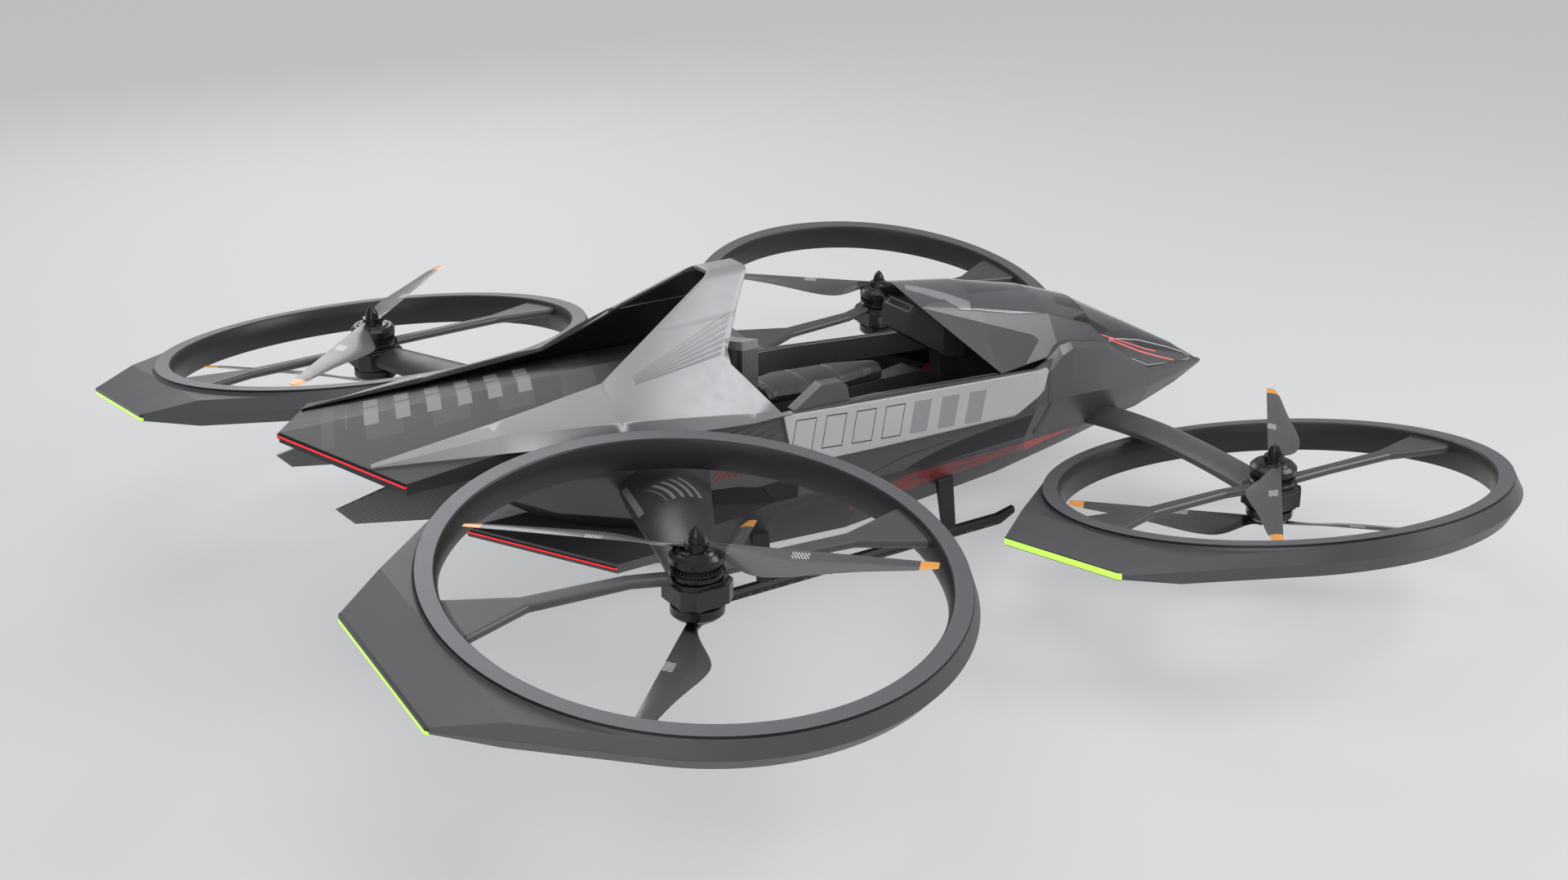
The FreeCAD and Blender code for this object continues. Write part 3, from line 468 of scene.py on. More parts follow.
def makeCarbon():
    # Woven carbon on the backrest, rails and fins, with a light top edge on the backrest
    look = carbonLook
    finish = lacqueredFinish("carbonWeave", look)
    here = finish.place()
    x, y, z = finish.axes(here)
    forward, upward = look["lay"]
    colour = weaveColour(finish, here, x + y * forward, z - y * upward, look)
    rim = (z > look["rimZ"]) * x.between(*look["rimX"])
    finish.feed("Base Color", finish.blendColour(rim, colour, look["rim"]))
    finish.cover("backrest", "ventral_fins", "side_rails")


# What the user may change on the propellers: reaches as shares of the radius, widths in metres
bladeLook = {
    "dark": (0.020, 0.020, 0.021), "light": (0.115, 0.115, 0.120), "pitch": 0.0065, "roughness": 0.32,
    "coat": 0.4, "coatRoughness": 0.15, "hatchReach": (0.40, 0.475), "hatchWidth": (-0.026, 0.012),
    "hatchPitch": 88.0, "hatchLean": 0.6, "hatchShare": 0.45, "hatch": (0.62, 0.62, 0.62),
    "tipReach": 0.925, "tip": (0.85, 0.36, 0.06), "rootReach": 0.135, "canReach": 0.125,
    "canMetallic": 0.7,
}


def makeBlades():
    # Each propeller: weave along the blade, a hatched block part way out, an orange tip, a dark motor can
    look = bladeLook
    for end, side in stations:
        for level in ("top", "low"):
            angle = bladeAngle[end] + (90.0 if level == "low" else 0.0)
            angle = -angle if side == "right" else angle
            name = "_" + level + "_" + end + "_" + side
            finish = lacqueredFinish("blade" + name, look)
            local = finish.place(stationAt(end, side), (0.0, 0.0, math.radians(angle)))
            x, y, z = finish.axes(local)
            colour = weaveColour(finish, local, x, y, look)
            reach = (x * x + y * y).root() / propRadius
            hatch = ((x + y * look["hatchLean"]) * look["hatchPitch"]).fraction() < look["hatchShare"]
            hatch = hatch * reach.between(*look["hatchReach"]) * y.between(*look["hatchWidth"])
            colour = finish.blendColour(hatch, colour, look["hatch"])
            colour = finish.blendColour(reach > look["tipReach"], colour, look["tip"])
            colour = finish.blendColour(reach < look["rootReach"], colour, look["dark"])
            finish.feed("Base Color", colour)
            finish.feed("Metallic", (reach < look["canReach"]) * look["canMetallic"])
            finish.cover("rotor" + name)


# What the user may change on the small dark parts: colour, lighter colour, roughness, metallic
darkLook = {
    "tunnel": ((0.026, 0.026, 0.028), (0.036, 0.036, 0.038), 0.42, 0.1),
    "skid": ((0.022, 0.022, 0.024), (0.030, 0.030, 0.032), 0.45, 0.3),
    "motor": ((0.050, 0.050, 0.053), (0.066, 0.066, 0.070), 0.30, 0.8), "scuff": (60.0, 4.0, 0.7),
    "wearHeight": 0.012, "wearShare": 0.55, "worn": (0.12, 0.12, 0.12),
}


def makeDarkParts():
    look = darkLook
    tunnel = satinPaint("tunnelBlack", *look["tunnel"])[0]
    tunnel.cover("saddle_tunnel", "dash_post", "dash_pod")
    skid, here, colour = satinPaint("skidBlack", *look["skid"])
    x, y, z = skid.axes(here)
    scuff = skid.noise(here, *look["scuff"])
    worn = (z < look["wearHeight"]) * (scuff > look["wearShare"])
    skid.feed("Base Color", skid.blendColour(worn, colour, look["worn"]))
    skid.cover("landing_skids")
    motor = satinPaint("motorMetal", *look["motor"])[0]
    motor.cover("battery_pack", *["hub_" + end + "_" + side for end, side in stations])


# What the user may change on the rear arms: places in x and in distance from the middle, in metres
armLook = {
    "dark": (0.060, 0.060, 0.064), "darkLight": (0.074, 0.074, 0.078), "mark": (0.30, 0.30, 0.31),
    "bowMiddle": 0.70, "bow": 1.6, "bandPitch": 26.0, "bandShare": 0.42, "bandX": (-1.065, -0.905),
    "bandY": (0.62, 0.80), "strip": ((-1.085, 0.47), (-1.180, 0.78), 0.022), "upFacing": 0.3,
}


def makeArms():
    # Arms: satin grey, with curved light stripes and a plain strip on the rear ones
    look = armLook
    front = shellPaint("armGrey", "nose")[0]
    front.cover("arm_front_left", "arm_front_right")
    coat = (look["dark"], look["darkLight"], shellLook["roughness"], shellLook["metallic"])
    rear, here, colour = satinPaint("armGreyMarked", *coat)
    x, y, z = rear.axes(here)
    nx, ny, nz = rear.normals()
    width = abs(y)
    off = width - look["bowMiddle"]
    bow = x + off * off * look["bow"]
    bands = (bow * look["bandPitch"]).fraction() < look["bandShare"]
    bands = bands * bow.between(*look["bandX"]) * width.between(*look["bandY"])
    marks = bands.either(rear.stroke(x, width, *look["strip"])) * (nz > look["upFacing"])
    rear.feed("Base Color", rear.blendColour(marks, colour, look["mark"]))
    rear.cover("arm_rear_left", "arm_rear_right")


# What the user may change on the glass: printed band and facet on the roof, lamp lines in x and z, in metres
glassLook = {
    "plain": (0.30, 0.305, 0.32), "plainRoughness": 0.06, "coat": 0.3, "coatRoughness": 0.05,
    "roof": (0.25, 0.255, 0.27), "roofRoughness": (0.08, 0.24), "roofThrough": 0.62, "index": 1.45,
    "band": ((0.575, 0.052), (0.845, 0.182), 0.050), "bandColour": (0.62, 0.63, 0.66),
    "facetX": (0.88, 1.30), "facetY": (0.02, 0.120, 0.16, 0.90), "facetColour": (0.17, 0.173, 0.182),
    "pane": (0.050, 0.051, 0.055), "paneDull": 0.38, "paneRoughness": (0.34, 0.46), "paneShine": 0.30,
    "paneFilm": (6.0, 3.0), "lamp": (0.010, 0.010, 0.011), "lampDull": 0.07,
    "lampRoughness": (0.05, 0.10), "lampFilm": (20.0, 2.0), "lampCoat": 0.02,
    "silver": (0.60, 0.60, 0.62), "red": (0.75, 0.10, 0.11), "redGlow": (1.0, 0.10, 0.11), "glow": 0.55,
    "redUpper": [(1.594, 0.795), (1.704, 0.747), (1.819, 0.694), (1.964, 0.629), (2.057, 0.591)],
    "redLower": [(1.672, 0.743), (1.702, 0.736), (1.915, 0.630), (2.091, 0.554), (2.214, 0.504)],
    "silverUpper": [(1.669, 0.753), (1.789, 0.721), (1.910, 0.684), (2.036, 0.634), (2.179, 0.576),
                    (2.310, 0.516), (2.359, 0.486), (2.362, 0.470)],
    "silverLower": [(1.640, 0.720), (1.713, 0.690), (1.844, 0.615), (1.981, 0.545), (2.214, 0.495),
                    (2.362, 0.470)],
    "widths": {"redUpper": 0.0045, "redLower": 0.0055, "silverUpper": 0.004, "silverLower": 0.003},
}


def makeRoof():
    # Smoky clear roof with a paler printed band and a darker facet
    look = glassLook
    roof = Finish("smokyRoof", Base_Color=look["plain"], Roughness=look["plainRoughness"], IOR=look["index"],
                  Coat_Weight=look["coat"], Coat_Roughness=look["coatRoughness"],
                  Transmission_Weight=look["roofThrough"])
    x, y, z = roof.axes(roof.place())
    width = abs(y)
    band = roof.stroke(x, width, *look["band"])
    inner, outer, taper, start = look["facetY"]
    facet = (width < outer - (x - start) * taper) * x.between(*look["facetX"]) * (width > inner)
    tint = roof.blendColour(band, look["roof"], look["bandColour"])
    roof.feed("Base Color", roof.blendColour(facet, tint, look["facetColour"]))
    roof.feed("Roughness", roof.scaleTo(band, *look["roofRoughness"]))
    roof.cover("canopy_glass")


def makePanes():
    # Darker side panes with a thin film of dust
    look = glassLook
    pane = Finish("smokyPane", Base_Color=look["pane"], Roughness=look["paneDull"], IOR=look["index"],
                  Specular_IOR_Level=look["paneShine"])
    film = pane.noise(pane.place(), *look["paneFilm"])
    pane.feed("Roughness", pane.scaleTo(film, *look["paneRoughness"]))
    pane.cover("side_windows")


def makeLampGlass():
    # Black glass over the nose, with two red light lines inside thin silver ones
    look = glassLook
    lamp = Finish("lampGlass", Base_Color=look["lamp"], Roughness=look["lampDull"], Coat_Weight=1.0,
                  Coat_Roughness=look["lampCoat"], Emission_Strength=look["glow"])
    here = lamp.place()
    x, y, z = lamp.axes(here)
    lines = {}
    for key, width in look["widths"].items():
        points = look[key]
        lines[key] = lamp.strokes(x, z, [(first, second, width) for first, second in zip(points, points[1:])])
    red = lines["redUpper"].either(lines["redLower"])
    silver = lines["silverUpper"].either(lines["silverLower"])
    film = lamp.noise(here, *look["lampFilm"])
    colour = lamp.blendColour(silver, look["lamp"], look["silver"])
    lamp.feed("Base Color", lamp.blendColour(red, colour, look["red"]))
    lamp.feed("Roughness", lamp.scaleTo(film, *look["lampRoughness"]))
    lamp.feed("Emission Color", lamp.blendColour(red, (0.0, 0.0, 0.0), look["redGlow"]))
    lamp.cover("nose_lamp_glass")


# What the user may change on the light bars: where each strip lies below its bar's upper edge, in metres
lightLook = {
    "housing": (0.022, 0.022, 0.024), "green": (0.50, 1.0, 0.10), "greenDim": (0.38, 0.85, 0.07),
    "red": (1.0, 0.012, 0.020), "redDim": (0.75, 0.008, 0.014), "rearStrip": (0.077, 0.0915),
    "frontStrip": (0.065, 0.0905), "upperStrip": (0.009, 0.0165), "lowerStrip": (0.0155, 0.0225),
    "upperApex": 1.086, "upperFall": 0.212, "lowerApex": 0.513, "lowerFall": 0.26, "split": -1.70,
    "roughness": 0.25, "strength": 1.0, "grain": (40.0, 1.0),
}


def paintLight(finish, strip, bright, dim):
    # A glowing strip on a dark housing, a little uneven along its length
    grain = finish.noise(finish.place(), *lightLook["grain"])
    lit = finish.blendColour(grain, bright, dim)
    finish.feed("Emission Color", finish.blendColour(strip, (0.0, 0.0, 0.0), lit))
    finish.feed("Base Color", finish.blendColour(strip, lightLook["housing"], lit))


def makeLights():
    # Glowing strips in dark housings: the outer bars thin at the rear and taller in front, the tail ones thin
    look = lightLook
    green = Finish("lightGreen", Roughness=look["roughness"], Emission_Strength=look["strength"])
    x, y, z = green.axes(green.place())
    off = abs(y) - stationY["left"]
    rearDrop = stationZ["rear"] - off * math.tan(ringCant["rear"]) - z
    frontDrop = stationZ["front"] - off * math.tan(ringCant["front"]) - z
    rear = (x < 0.0) * rearDrop.between(*look["rearStrip"])
    front = (x > 0.0) * frontDrop.between(*look["frontStrip"])
    paintLight(green, rear.either(front), look["green"], look["greenDim"])
    green.cover("ring_lights")
    red = Finish("lightRed", Roughness=look["roughness"], Emission_Strength=look["strength"])
    x, y, z = red.axes(red.place())
    width = abs(y)
    upperDrop = look["upperApex"] - width * look["upperFall"] - z
    lowerDrop = look["lowerApex"] - width * look["lowerFall"] - z
    upper = (x < look["split"]) * upperDrop.between(*look["upperStrip"])
    lower = (x > look["split"]) * lowerDrop.between(*look["lowerStrip"])
    paintLight(red, upper.either(lower), look["red"], look["redDim"])
    red.cover("tail_lights")


makeShell()
makeRingShell()
makeTubShell()
makeBelly()
makeHoopSilver()
makePanels()
makeDeck()
makeCarbon()
makeBlades()
makeDarkParts()
makeArms()
makeRoof()
makePanes()
makeLampGlass()
makeLights()
print("finishes on the carried-over nodes")


# What the user may change on the saddle pad, in metres: its form, its sewn channels, its leather and thread
padLook = {
    "shrink": 0.965, "voxel": 0.006, "pressure": 4.0, "cap": 0.010, "frames": 20, "smooth": 60.0,
    "fill": 0.8, "channels": [-0.16, 0.02, 0.20], "channelDepth": 0.005, "channelHalf": 0.007,
    "channelReach": 0.05, "leather": (0.030, 0.030, 0.032), "leatherLight": (0.046, 0.046, 0.049),
    "roughness": 0.5, "coat": 0.1, "grain": 320.0, "creases": (45.0, 5.0, 0.6), "cloud": (5.0, 3.0),
    "creased": (0.42, 0.62), "mix": (0.7, 0.3), "relief": (0.35, 0.0008), "thread": (0.16, 0.16, 0.165),
    "rowShift": 0.0115, "rowHalf": 0.0012, "stitches": 160.0, "stitchShare": 0.55, "rowFloor": 0.800,
}


def deselectAll():
    if bpy.context.mode != "OBJECT":
        bpy.ops.object.mode_set(mode="OBJECT")
    bpy.ops.object.select_all(action="DESELECT")


def makeActive(piece):
    deselectAll()
    piece.select_set(True)
    bpy.context.view_layer.objects.active = piece


def pickFaces(piece, test):
    # Selects the faces whose middle and normal pass the test, in edit mode
    bpy.ops.object.mode_set(mode="OBJECT")
    mesh = piece.data
    for vertex in mesh.vertices:
        vertex.select = False
    for edge in mesh.edges:
        edge.select = False
    for face in mesh.polygons:
        face.select = bool(test(face.center, face.normal))
    bpy.ops.object.mode_set(mode="EDIT")
    bpy.ops.mesh.select_mode(type="FACE")


def settle(piece, name, material, body, smoothAngle=30.0):
    # Leaves a finished piece at the origin, its place worked into its mesh
    makeActive(piece)
    bpy.ops.object.transform_apply(location=True, rotation=True, scale=True)
    bpy.ops.object.shade_smooth_by_angle(angle=math.radians(smoothAngle))
    piece.name = name
    piece.data.name = name
    piece.data.materials.clear()
    piece.data.materials.append(material)
    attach(piece, body)
    return piece


def copyAt(source, name, material, body, matrix):
    # A copy with its own mesh, set down by a matrix
    piece = source.copy()
    piece.data = source.data.copy()
    bpy.context.collection.objects.link(piece)
    piece.matrix_world = matrix
    return settle(piece, name, material, body)


def useModifier(piece, kind, **settings):
    makeActive(piece)
    modifier = piece.modifiers.new(kind.lower(), kind)
    for key, value in settings.items():
        setattr(modifier, key, value)
    bpy.ops.object.modifier_apply(modifier=modifier.name)


def joinPieces(pieces):
    makeActive(pieces[0])
    for piece in pieces:
        piece.select_set(True)
    if len(pieces) > 1:
        bpy.ops.object.join()
    return bpy.context.view_layer.objects.active


def mergedCopy(name, gap=0.0001):
    # A copy of a carried-over node as one closed mesh at the origin
    source = nodes[name]
    piece = source.copy()
    piece.data = source.data.copy()
    piece.parent = None
    piece.matrix_world = Matrix.Identity(4)
    for key in list(piece.keys()):
        del piece[key]
    bpy.context.collection.objects.link(piece)
    makeActive(piece)
    bpy.ops.object.mode_set(mode="EDIT")
    bpy.ops.mesh.select_all(action="SELECT")
    bpy.ops.mesh.remove_doubles(threshold=gap)
    bpy.ops.mesh.normals_make_consistent(inside=False)
    bpy.ops.object.mode_set(mode="OBJECT")
    return piece


def leatherFinish():
    # Grained leather with a row of stitches on both sides of each channel
    look = padLook
    finish = Finish("saddleLeather", Roughness=look["roughness"], Coat_Weight=look["coat"])
    here = finish.place()
    x, y, z = finish.axes(here)
    cells = {"Vector": here, "Scale": look["grain"]}
    grain = finish.node("ShaderNodeTexVoronoi", {"feature": "DISTANCE_TO_EDGE"}, cells)
    creases = finish.noise(here, *look["creases"])
    cloud = finish.noise(here, *look["cloud"])
    colour = finish.blendColour(cloud, look["leather"], look["leatherLight"])
    stitch = (y * look["stitches"]).fraction() < look["stitchShare"]
    rows = None
    for place in look["channels"]:
        for shift in (-look["rowShift"], look["rowShift"]):
            row = (abs(x - (place + shift)) < look["rowHalf"]) * stitch
            rows = row if rows is None else rows.either(row)
    top = z > look["rowFloor"]
    finish.feed("Base Color", finish.blendColour(rows * top, colour, look["thread"]))
    finish.feed("Roughness", finish.scaleTo(creases, *look["creased"]))
    grainShare, creaseShare = look["mix"]
    finish.feed("Normal", finish.bump(grain * grainShare + creases * creaseShare, *look["relief"]))
    return finish.material


def puffUp(pad, floorZ):
    # Blows the cover up a little, no further than the cap and not below the saddle's own foot
    look = padLook
    start = [vertex.co.copy() for vertex in pad.data.vertices]
    makeActive(pad)
    cloth = pad.modifiers.new("cloth", "CLOTH")
    cloth.settings.use_pressure = True
    cloth.settings.uniform_pressure_force = look["pressure"]
    cloth.settings.effector_weights.gravity = 0.0
    cloth.point_cache.frame_start = 1
    cloth.point_cache.frame_end = look["frames"]
    for step in range(1, look["frames"] + 1):
        bpy.context.scene.frame_set(step)
    bpy.ops.object.modifier_apply(modifier=cloth.name)
    bpy.context.scene.frame_set(1)
    for vertex, before in zip(pad.data.vertices, start):
        move = vertex.co - before
        if move.length > look["cap"]:
            vertex.co = before + move * (look["cap"] / move.length)
        vertex.co.z = max(vertex.co.z, floorZ)


def sewChannels(pad, topZ):
    # Draws the cover down along each sewn channel
    look = padLook
    for vertex in pad.data.vertices:
        if vertex.co.z < topZ - look["channelReach"]:
            continue
        for place in look["channels"]:
            near = abs(vertex.co.x - place) / look["channelHalf"]
            if near < 1.0:
                vertex.co.z -= look["channelDepth"] * (1.0 + math.cos(math.pi * near)) / 2


def makeSaddlePad():
    # The saddle's own form, a little smaller, with a padded and sewn cover
    look = padLook
    pad = mergedCopy("saddle")
    low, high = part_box("saddle")
    middle = [(a + b) / 2 for a, b in zip(low, high)]
    for vertex in pad.data.vertices:
        vertex.co.x = middle[0] + (vertex.co.x - middle[0]) * look["shrink"]
        vertex.co.y = middle[1] + (vertex.co.y - middle[1]) * look["shrink"]
        vertex.co.z = low[2] + (vertex.co.z - low[2]) * look["shrink"]
    useModifier(pad, "REMESH", mode="VOXEL", voxel_size=look["voxel"])
    puffUp(pad, low[2])
    sewChannels(pad, high[2])
    useModifier(pad, "SUBSURF", levels=1, render_levels=1)
    settle(pad, "saddlePad", leatherFinish(), "airframe", look["smooth"])
    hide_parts("saddle")


makeSaddlePad()
print("saddle pad made")


# What the user may change on the hoop's rounded top, in metres: edge and fold of its leg at three stations
hoopLook = {
    "aft": (-1.064, 0.270, 1.115, 0.430, 1.006), "middle": (-0.439, 0.066, 1.413, 0.410, 0.902),
    "fore": (-0.240, 0.060, 1.428, 0.392, 0.878), "cut": 1.250, "top": 1.414, "bend": 0.034,
    "wall": 0.020, "frontX": -0.262, "frontSlope": 0.785, "rearSlope": 2.097, "edge": 0.004, "rows": 10,
    "legSteps": 5, "bendSteps": 8, "overlap": 0.004, "frontTop": 1.400, "sharp": 50.0,
}


def legFace(x, z):
    # How far out the leg's outer face lies at this place
    look = hoopLook
    x0, y0, z0, foldY0, foldZ0 = look["middle"]
    other = look["fore"] if x > x0 else look["aft"]
    share = (x - x0) / (other[0] - x0)
    edgeY, edgeZ, foldY, foldZ = [a + share * (b - a) for a, b in zip((y0, z0, foldY0, foldZ0), other[1:])]
    return edgeY + (foldY - edgeY) * (edgeZ - z) / (edgeZ - foldZ)


def hoopProfile(x, column):
    # One side of the arch at a station: up the leg, round the bend, in to the middle
    look = hoopLook
    foot = look["cut"] - look["overlap"]
    start = look["top"] - look["bend"]
    if column <= look["legSteps"]:
        z = foot + (start - foot) * column / look["legSteps"]
        return legFace(x, z), z
    share = (column - look["legSteps"]) / look["bendSteps"]
    if share > 1.0:
        return 0.0, look["top"]
    first = (legFace(x, start), start)
    corner = (legFace(x, look["top"]), look["top"])
    last = (corner[0] - look["bend"], look["top"])
    rest = 1 - share
    return tuple(rest ** 2 * a + 2 * share * rest * b + share ** 2 * c for a, b, c in zip(first, corner, last))


def makeHoopArch():
    # A bent sheet over both legs, shaped from a grid and thickened
    look = hoopLook
    half = look["legSteps"] + look["bendSteps"] + 1
    deselectAll()
    rows = look["rows"]
    bpy.ops.mesh.primitive_grid_add(x_subdivisions=rows, y_subdivisions=2 * half, size=2.0, location=(0, 0, 0))
    arch = bpy.context.object
    middleX, middleZ = look["middle"][0], look["middle"][2]
    for vertex in arch.data.vertices:
        column = round((vertex.co.y + 1.0) * half)
        side = -1.0 if column < half else 1.0
        column = column if column <= half else 2 * half - column
        along = (vertex.co.x + 1.0) / 2
        z = hoopProfile(middleX, column)[1]
        rear = middleX - max(0.0, middleZ - z) * look["rearSlope"]
        front = look["frontX"] - max(0.0, look["frontTop"] - z) * look["frontSlope"]
        x = rear + (front - rear) * along
        y, z = hoopProfile(x, column)
        vertex.co = (x, side * y, z)
    makeActive(arch)
    bpy.ops.object.mode_set(mode="EDIT")
    bpy.ops.mesh.select_all(action="SELECT")
    bpy.ops.mesh.normals_make_consistent(inside=False)
    bpy.ops.object.mode_set(mode="OBJECT")
    if max(arch.data.polygons, key=lambda face: face.center.z).normal.z < 0.0:
        bpy.ops.object.mode_set(mode="EDIT")
        bpy.ops.mesh.flip_normals()
        bpy.ops.object.mode_set(mode="OBJECT")
    useModifier(arch, "SOLIDIFY", thickness=look["wall"], offset=-1.0, use_even_offset=True)
    sharp = math.radians(look["sharp"])
    useModifier(arch, "BEVEL", width=look["edge"], segments=2, limit_method="ANGLE", angle_limit=sharp)
    return arch


def makeHoop():
    # The hoop's legs cut off below their bar, closed by the bent sheet
    legs = mergedCopy("roll_hoop")
    level = (0.0, 0.0, hoopLook["cut"])
    bpy.ops.object.mode_set(mode="EDIT")
    bpy.ops.mesh.select_all(action="SELECT")
    bpy.ops.mesh.bisect(plane_co=level, plane_no=(0.0, 0.0, 1.0), clear_outer=True, use_fill=True)
    bpy.ops.object.mode_set(mode="OBJECT")
    hoop = joinPieces([legs, makeHoopArch()])
    settle(hoop, "hoopSkin", bpy.data.materials["hoopSilver"], "airframe")
    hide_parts("roll_hoop")


makeHoop()
print("hoop made")


# What the user may change on the instrument display, in metres
displayLook = {
    "centre": (0.588, 0.0, 1.066), "lean": math.radians(-42.4), "size": (0.040, 0.168, 0.008),
    "border": 0.006, "bevel": 0.0025, "sink": 0.0018, "case": (0.20, 0.20, 0.21),
    "screen": (0.035, 0.038, 0.045), "lighter": 1.2, "roughness": 0.34, "metallic": 0.2, "lip": 0.001,
    "groove": 0.0008, "sharp": 60.0,
}


def makeDisplay():
    # A slim display on the pod's upper rear edge, with a sunk screen
    look = displayLook
    lighter = tuple(value * look["lighter"] for value in look["case"])
    finish, _, colour = satinPaint("displayCase", look["case"], lighter, look["roughness"], look["metallic"])
    local = finish.place(look["centre"], (0.0, look["lean"], 0.0))
    x, y, z = finish.axes(local)
    halfX, halfY = [size / 2 - look["border"] - look["lip"] for size in look["size"][:2]]
    inside = (abs(x) < halfX) * (abs(y) < halfY) * (z > 0.0)
    finish.feed("Base Color", finish.blendColour(inside, colour, look["screen"]))
    deselectAll()
    bpy.ops.mesh.primitive_cube_add(size=1.0, location=(0, 0, 0))
    plate = bpy.context.object
    plate.scale = look["size"]
    bpy.ops.object.transform_apply(location=False, rotation=False, scale=True)
    pickFaces(plate, lambda centre, normal: normal.z > 0.9)
    bpy.ops.mesh.inset(thickness=look["border"], depth=0.0)
    bpy.ops.mesh.inset(thickness=look["groove"], depth=-look["sink"])
    bpy.ops.object.mode_set(mode="OBJECT")
    sharp = math.radians(look["sharp"])
    useModifier(plate, "BEVEL", width=look["bevel"], segments=3, limit_method="ANGLE", angle_limit=sharp)
    plate.rotation_euler = (0.0, look["lean"], 0.0)
    plate.location = look["centre"]
    settle(plate, "dashDisplay", finish.material, "airframe")


makeDisplay()
print("display made")


# What the user may change on the motor trim, in metres, the bolt's head in shares of its radius
motorLook = {
    "vanes": 36, "drumRadius": 0.0865, "vaneRadius": 0.0945, "vaneHeight": 0.016, "vaneWall": 0.0012,
    "vaneZ": 0.0015, "boltCount": 6, "boltCircle": 0.060, "boltRadius": 0.0055, "boltHeight": 0.005,
    "boltSides": 12, "chamfer": (0.16, 0.12), "socket": (0.34, 0.04), "socketDepth": 0.5,
    "boltZ": (0.068, -0.188), "steel": ((0.20, 0.20, 0.21), 0.28),
    "copper": ((0.050, 0.036, 0.028), 0.45), "metallic": 0.9, "streak": (220.0, 3.0, 0.6), "darker": 0.72,
    "gloss": (-0.05, 0.12),
}


def metalFinish(name, colour, roughness):
    # Bare metal with fine streaks
    look = motorLook
    finish = Finish(name, Metallic=look["metallic"], Roughness=roughness)
    streak = finish.noise(finish.place(), *look["streak"])
    darker = tuple(value * look["darker"] for value in colour)
    low, high = look["gloss"]
    finish.feed("Base Color", finish.blendColour(streak, darker, colour))
    finish.feed("Roughness", finish.scaleTo(streak, roughness + low, roughness + high))
    return finish.material


def makeVaneRing():
    # Ring of thin cooling vanes: every second face of a short drum drawn out
    look = motorLook
    count = look["vanes"] * 2
    radius = look["drumRadius"]
    deselectAll()
    bpy.ops.mesh.primitive_cylinder_add(vertices=count, radius=radius, depth=look["vaneHeight"],
                                        end_fill_type="NOTHING", location=(0, 0, 0))
    ring = bpy.context.object

    def everySecond(centre, normal):
        turn = math.atan2(centre.y, centre.x) % (2 * math.pi)
        return int(turn / (2 * math.pi) * count) % 2 == 0

    pickFaces(ring, everySecond)
    drawn = {"value": look["vaneRadius"] - radius}
    bpy.ops.mesh.extrude_region_shrink_fatten(TRANSFORM_OT_shrink_fatten=drawn)
    bpy.ops.mesh.select_all(action="SELECT")
    bpy.ops.object.mode_set(mode="OBJECT")
    useModifier(ring, "SOLIDIFY", thickness=look["vaneWall"], offset=-1.0)
    return ring


def makeBolt():
    # Socket-head bolt: bevelled head with a socket sunk in its top
    look = motorLook
    radius, height = look["boltRadius"], look["boltHeight"]
    deselectAll()
    bpy.ops.mesh.primitive_cylinder_add(vertices=look["boltSides"], radius=radius, depth=height,
                                        location=(0, 0, height / 2))
    bolt = bpy.context.object
    pickFaces(bolt, lambda centre, normal: normal.z > 0.9)
    rim, rise = look["chamfer"]
    land, wall = look["socket"]
    bpy.ops.mesh.inset(thickness=radius * rim, depth=radius * rise)
    bpy.ops.mesh.inset(thickness=radius * land, depth=0.0)
    bpy.ops.mesh.inset(thickness=radius * wall, depth=-height * look["socketDepth"])
    bpy.ops.object.mode_set(mode="OBJECT")
    return bolt


def boltRing(bolt, radius, count):
    # Copies of the bolt, each with its own mesh, joined as a ring
    copies = []
    for k in range(count):
        turn = 2 * math.pi * (k + 0.5) / count
        piece = bolt.copy()
        piece.data = bolt.data.copy()
        bpy.context.collection.objects.link(piece)
        piece.location = (radius * math.cos(turn), radius * math.sin(turn), 0.0)
        copies.append(piece)
    ring = joinPieces(copies)
    makeActive(ring)
    bpy.ops.object.transform_apply(location=True, rotation=True, scale=True)
    return ring


def makeMotorTrim():
    # Winding vanes between the motor cans, and a ring of bolts on the top and the low can of each station
    look = motorLook
    steel = metalFinish("boltSteel", *look["steel"])
    copper = metalFinish("windingCopper", *look["copper"])
    vanes = makeVaneRing()
    bolt = makeBolt()
    bolts = boltRing(bolt, look["boltCircle"], look["boltCount"])
    flip = Matrix.Rotation(math.pi, 4, "X")
    topZ, lowZ = look["boltZ"]
    for end, side in stations:
        at = Vector(stationAt(end, side))
        tag = "_" + end + "_" + side
        top = "rotor_top" + tag
        low = "rotor_low" + tag
        vanePlace = Matrix.Translation(at + Vector((0, 0, look["vaneZ"])))
        topPlace = Matrix.Translation(at + Vector((0, 0, topZ)))
        lowPlace = Matrix.Translation(at + Vector((0, 0, lowZ))) @ flip
        copyAt(vanes, "windings_top" + tag, copper, top, vanePlace)
        copyAt(bolts, "bolts_top" + tag, steel, top, topPlace)
        copyAt(bolts, "bolts_low" + tag, steel, low, lowPlace)
    for spare in (vanes, bolt, bolts):
        bpy.data.objects.remove(spare)


makeMotorTrim()
print("motor trim made")


# What the user may change on the camera, which has the photograph's viewing angle
cameraLook = {
    "sensor": 36.0, "lens": 47.25, "at": (-4.605, -7.009, 3.964), "tilt": 67.826, "turn": -33.144,
    "reach": 200.0,
}
camera = bpy.data.objects.new("camera", bpy.data.cameras.new("camera"))
camera.data.sensor_width = cameraLook["sensor"]
camera.data.lens = cameraLook["lens"]
camera.data.clip_end = cameraLook["reach"]
camera.location = cameraLook["at"]
camera.rotation_euler = (math.radians(cameraLook["tilt"]), 0.0, math.radians(cameraLook["turn"]))
bpy.context.collection.objects.link(camera)
bpy.context.scene.camera = camera

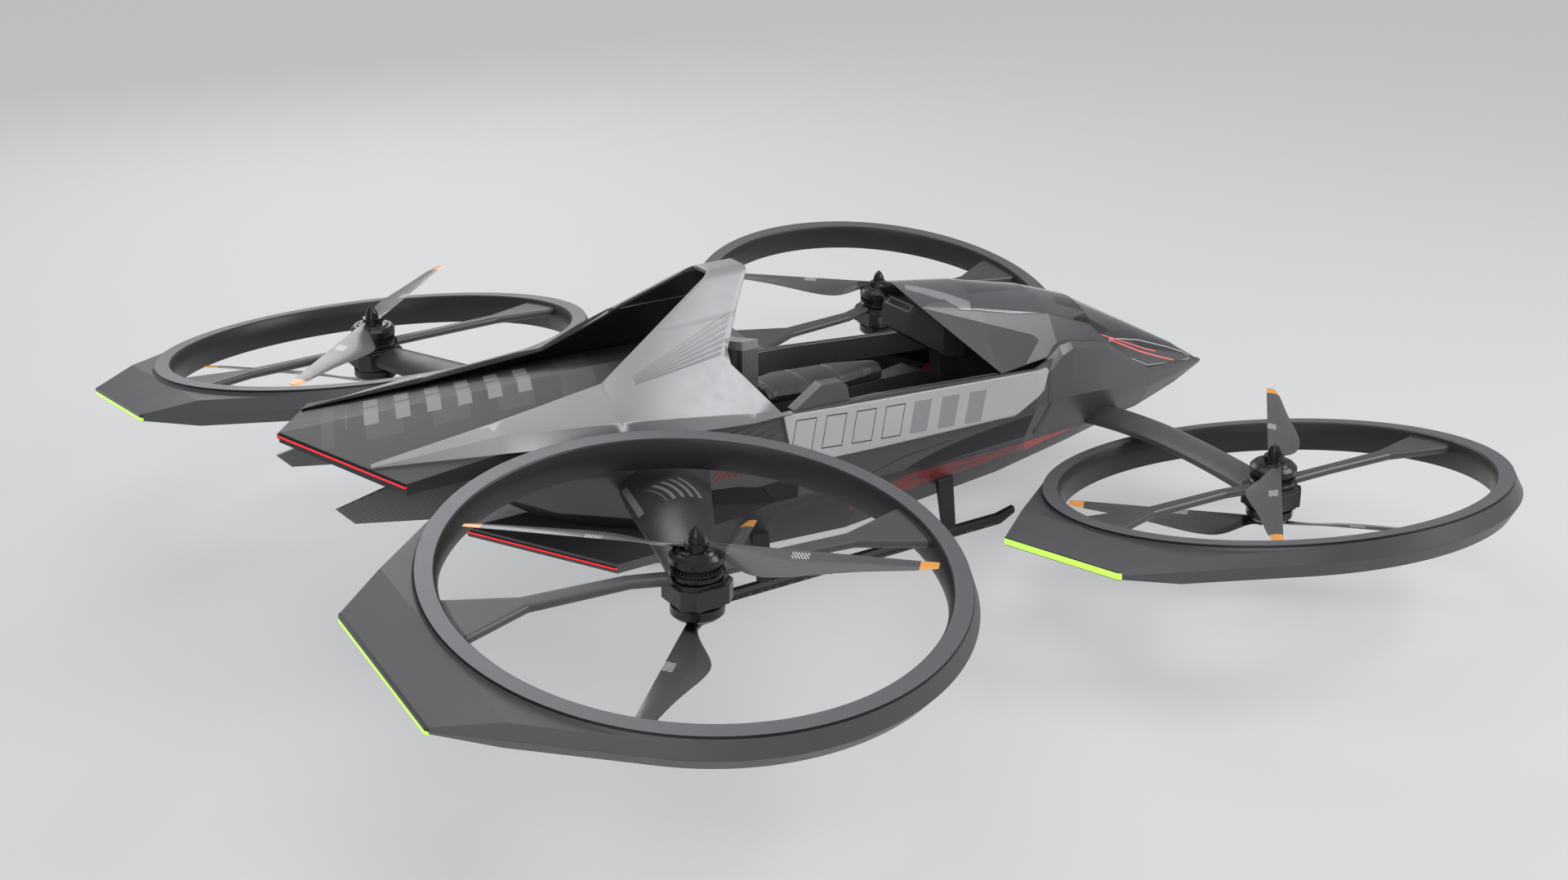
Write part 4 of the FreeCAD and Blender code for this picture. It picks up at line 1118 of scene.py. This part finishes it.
# What the user may change on the floor: plain and pale, half lit by itself where the camera sees it
floorLook = {
    "size": 90.0, "plain": (0.70, 0.70, 0.71), "roughness": 0.62, "grain": (2.0, 2.0),
    "dark": (0.69, 0.69, 0.70), "light": (0.71, 0.71, 0.72), "glow": (0.74, 0.745, 0.76),
    "glowShare": 0.5, "rays": ("Is Camera Ray", "Is Glossy Ray", "Is Transmission Ray"),
}


def makeFloor():
    look = floorLook
    deselectAll()
    bpy.ops.mesh.primitive_plane_add(size=look["size"], location=(0.0, 0.0, 0.0))
    floor = bpy.context.object
    floor.name = "floor"
    finish = Finish("floorPale", Base_Color=look["plain"], Roughness=look["roughness"])
    grain = finish.noise(finish.place(), *look["grain"])
    finish.feed("Base Color", finish.blendColour(grain, look["dark"], look["light"]))
    seen = [finish.node("ShaderNodeLightPath", output=ray) for ray in look["rays"]]
    share = seen[0].either(seen[1]).either(seen[2]) * look["glowShare"]
    pale = finish.node("ShaderNodeEmission", {}, {"Color": look["glow"], "Strength": 1.0})
    lit = Wire(finish, finish.shader.outputs[0])
    mixed = finish.node("ShaderNodeMixShader", {}, [share, lit, pale])
    finish.tree.links.new(mixed.out, finish.tree.nodes["Material Output"].inputs["Surface"])
    floor.data.materials.append(finish.material)


makeFloor()

# What the user may change on the soft lights: name, place, target, size, power
lampLook = [
    ("keyLight", (6.5, -5.5, 6.5), (0.4, 0.0, 0.5), 4.5, 400.0),
    ("fillLight", (-6.5, -7.0, 4.5), (0.0, 0.0, 0.5), 6.0, 210.0),
    ("backLight", (1.0, 8.0, 5.5), (0.0, 0.0, 0.6), 5.0, 230.0),
    ("topLight", (-1.0, 0.0, 7.5), (0.0, 0.0, 0.0), 6.0, 160.0),
]
for name, at, target, size, power in lampLook:
    lamp = bpy.data.lights.new(name, "AREA")
    lamp.energy = power
    lamp.size = size
    holder = bpy.data.objects.new(name, lamp)
    holder.location = at
    holder.rotation_euler = (Vector(target) - Vector(at)).to_track_quat("-Z", "Y").to_euler()
    bpy.context.collection.objects.link(holder)

# What the user may change on the surroundings
worldLook = {"colour": (0.80, 0.81, 0.83, 1.0), "strength": 0.45}
world = bpy.data.worlds.new("studio")
world.use_nodes = True
world.node_tree.nodes["Background"].inputs["Color"].default_value = worldLook["colour"]
world.node_tree.nodes["Background"].inputs["Strength"].default_value = worldLook["strength"]
bpy.context.scene.world = world
bpy.context.scene.view_settings.view_transform = "Standard"
print("camera, floor and lights set")
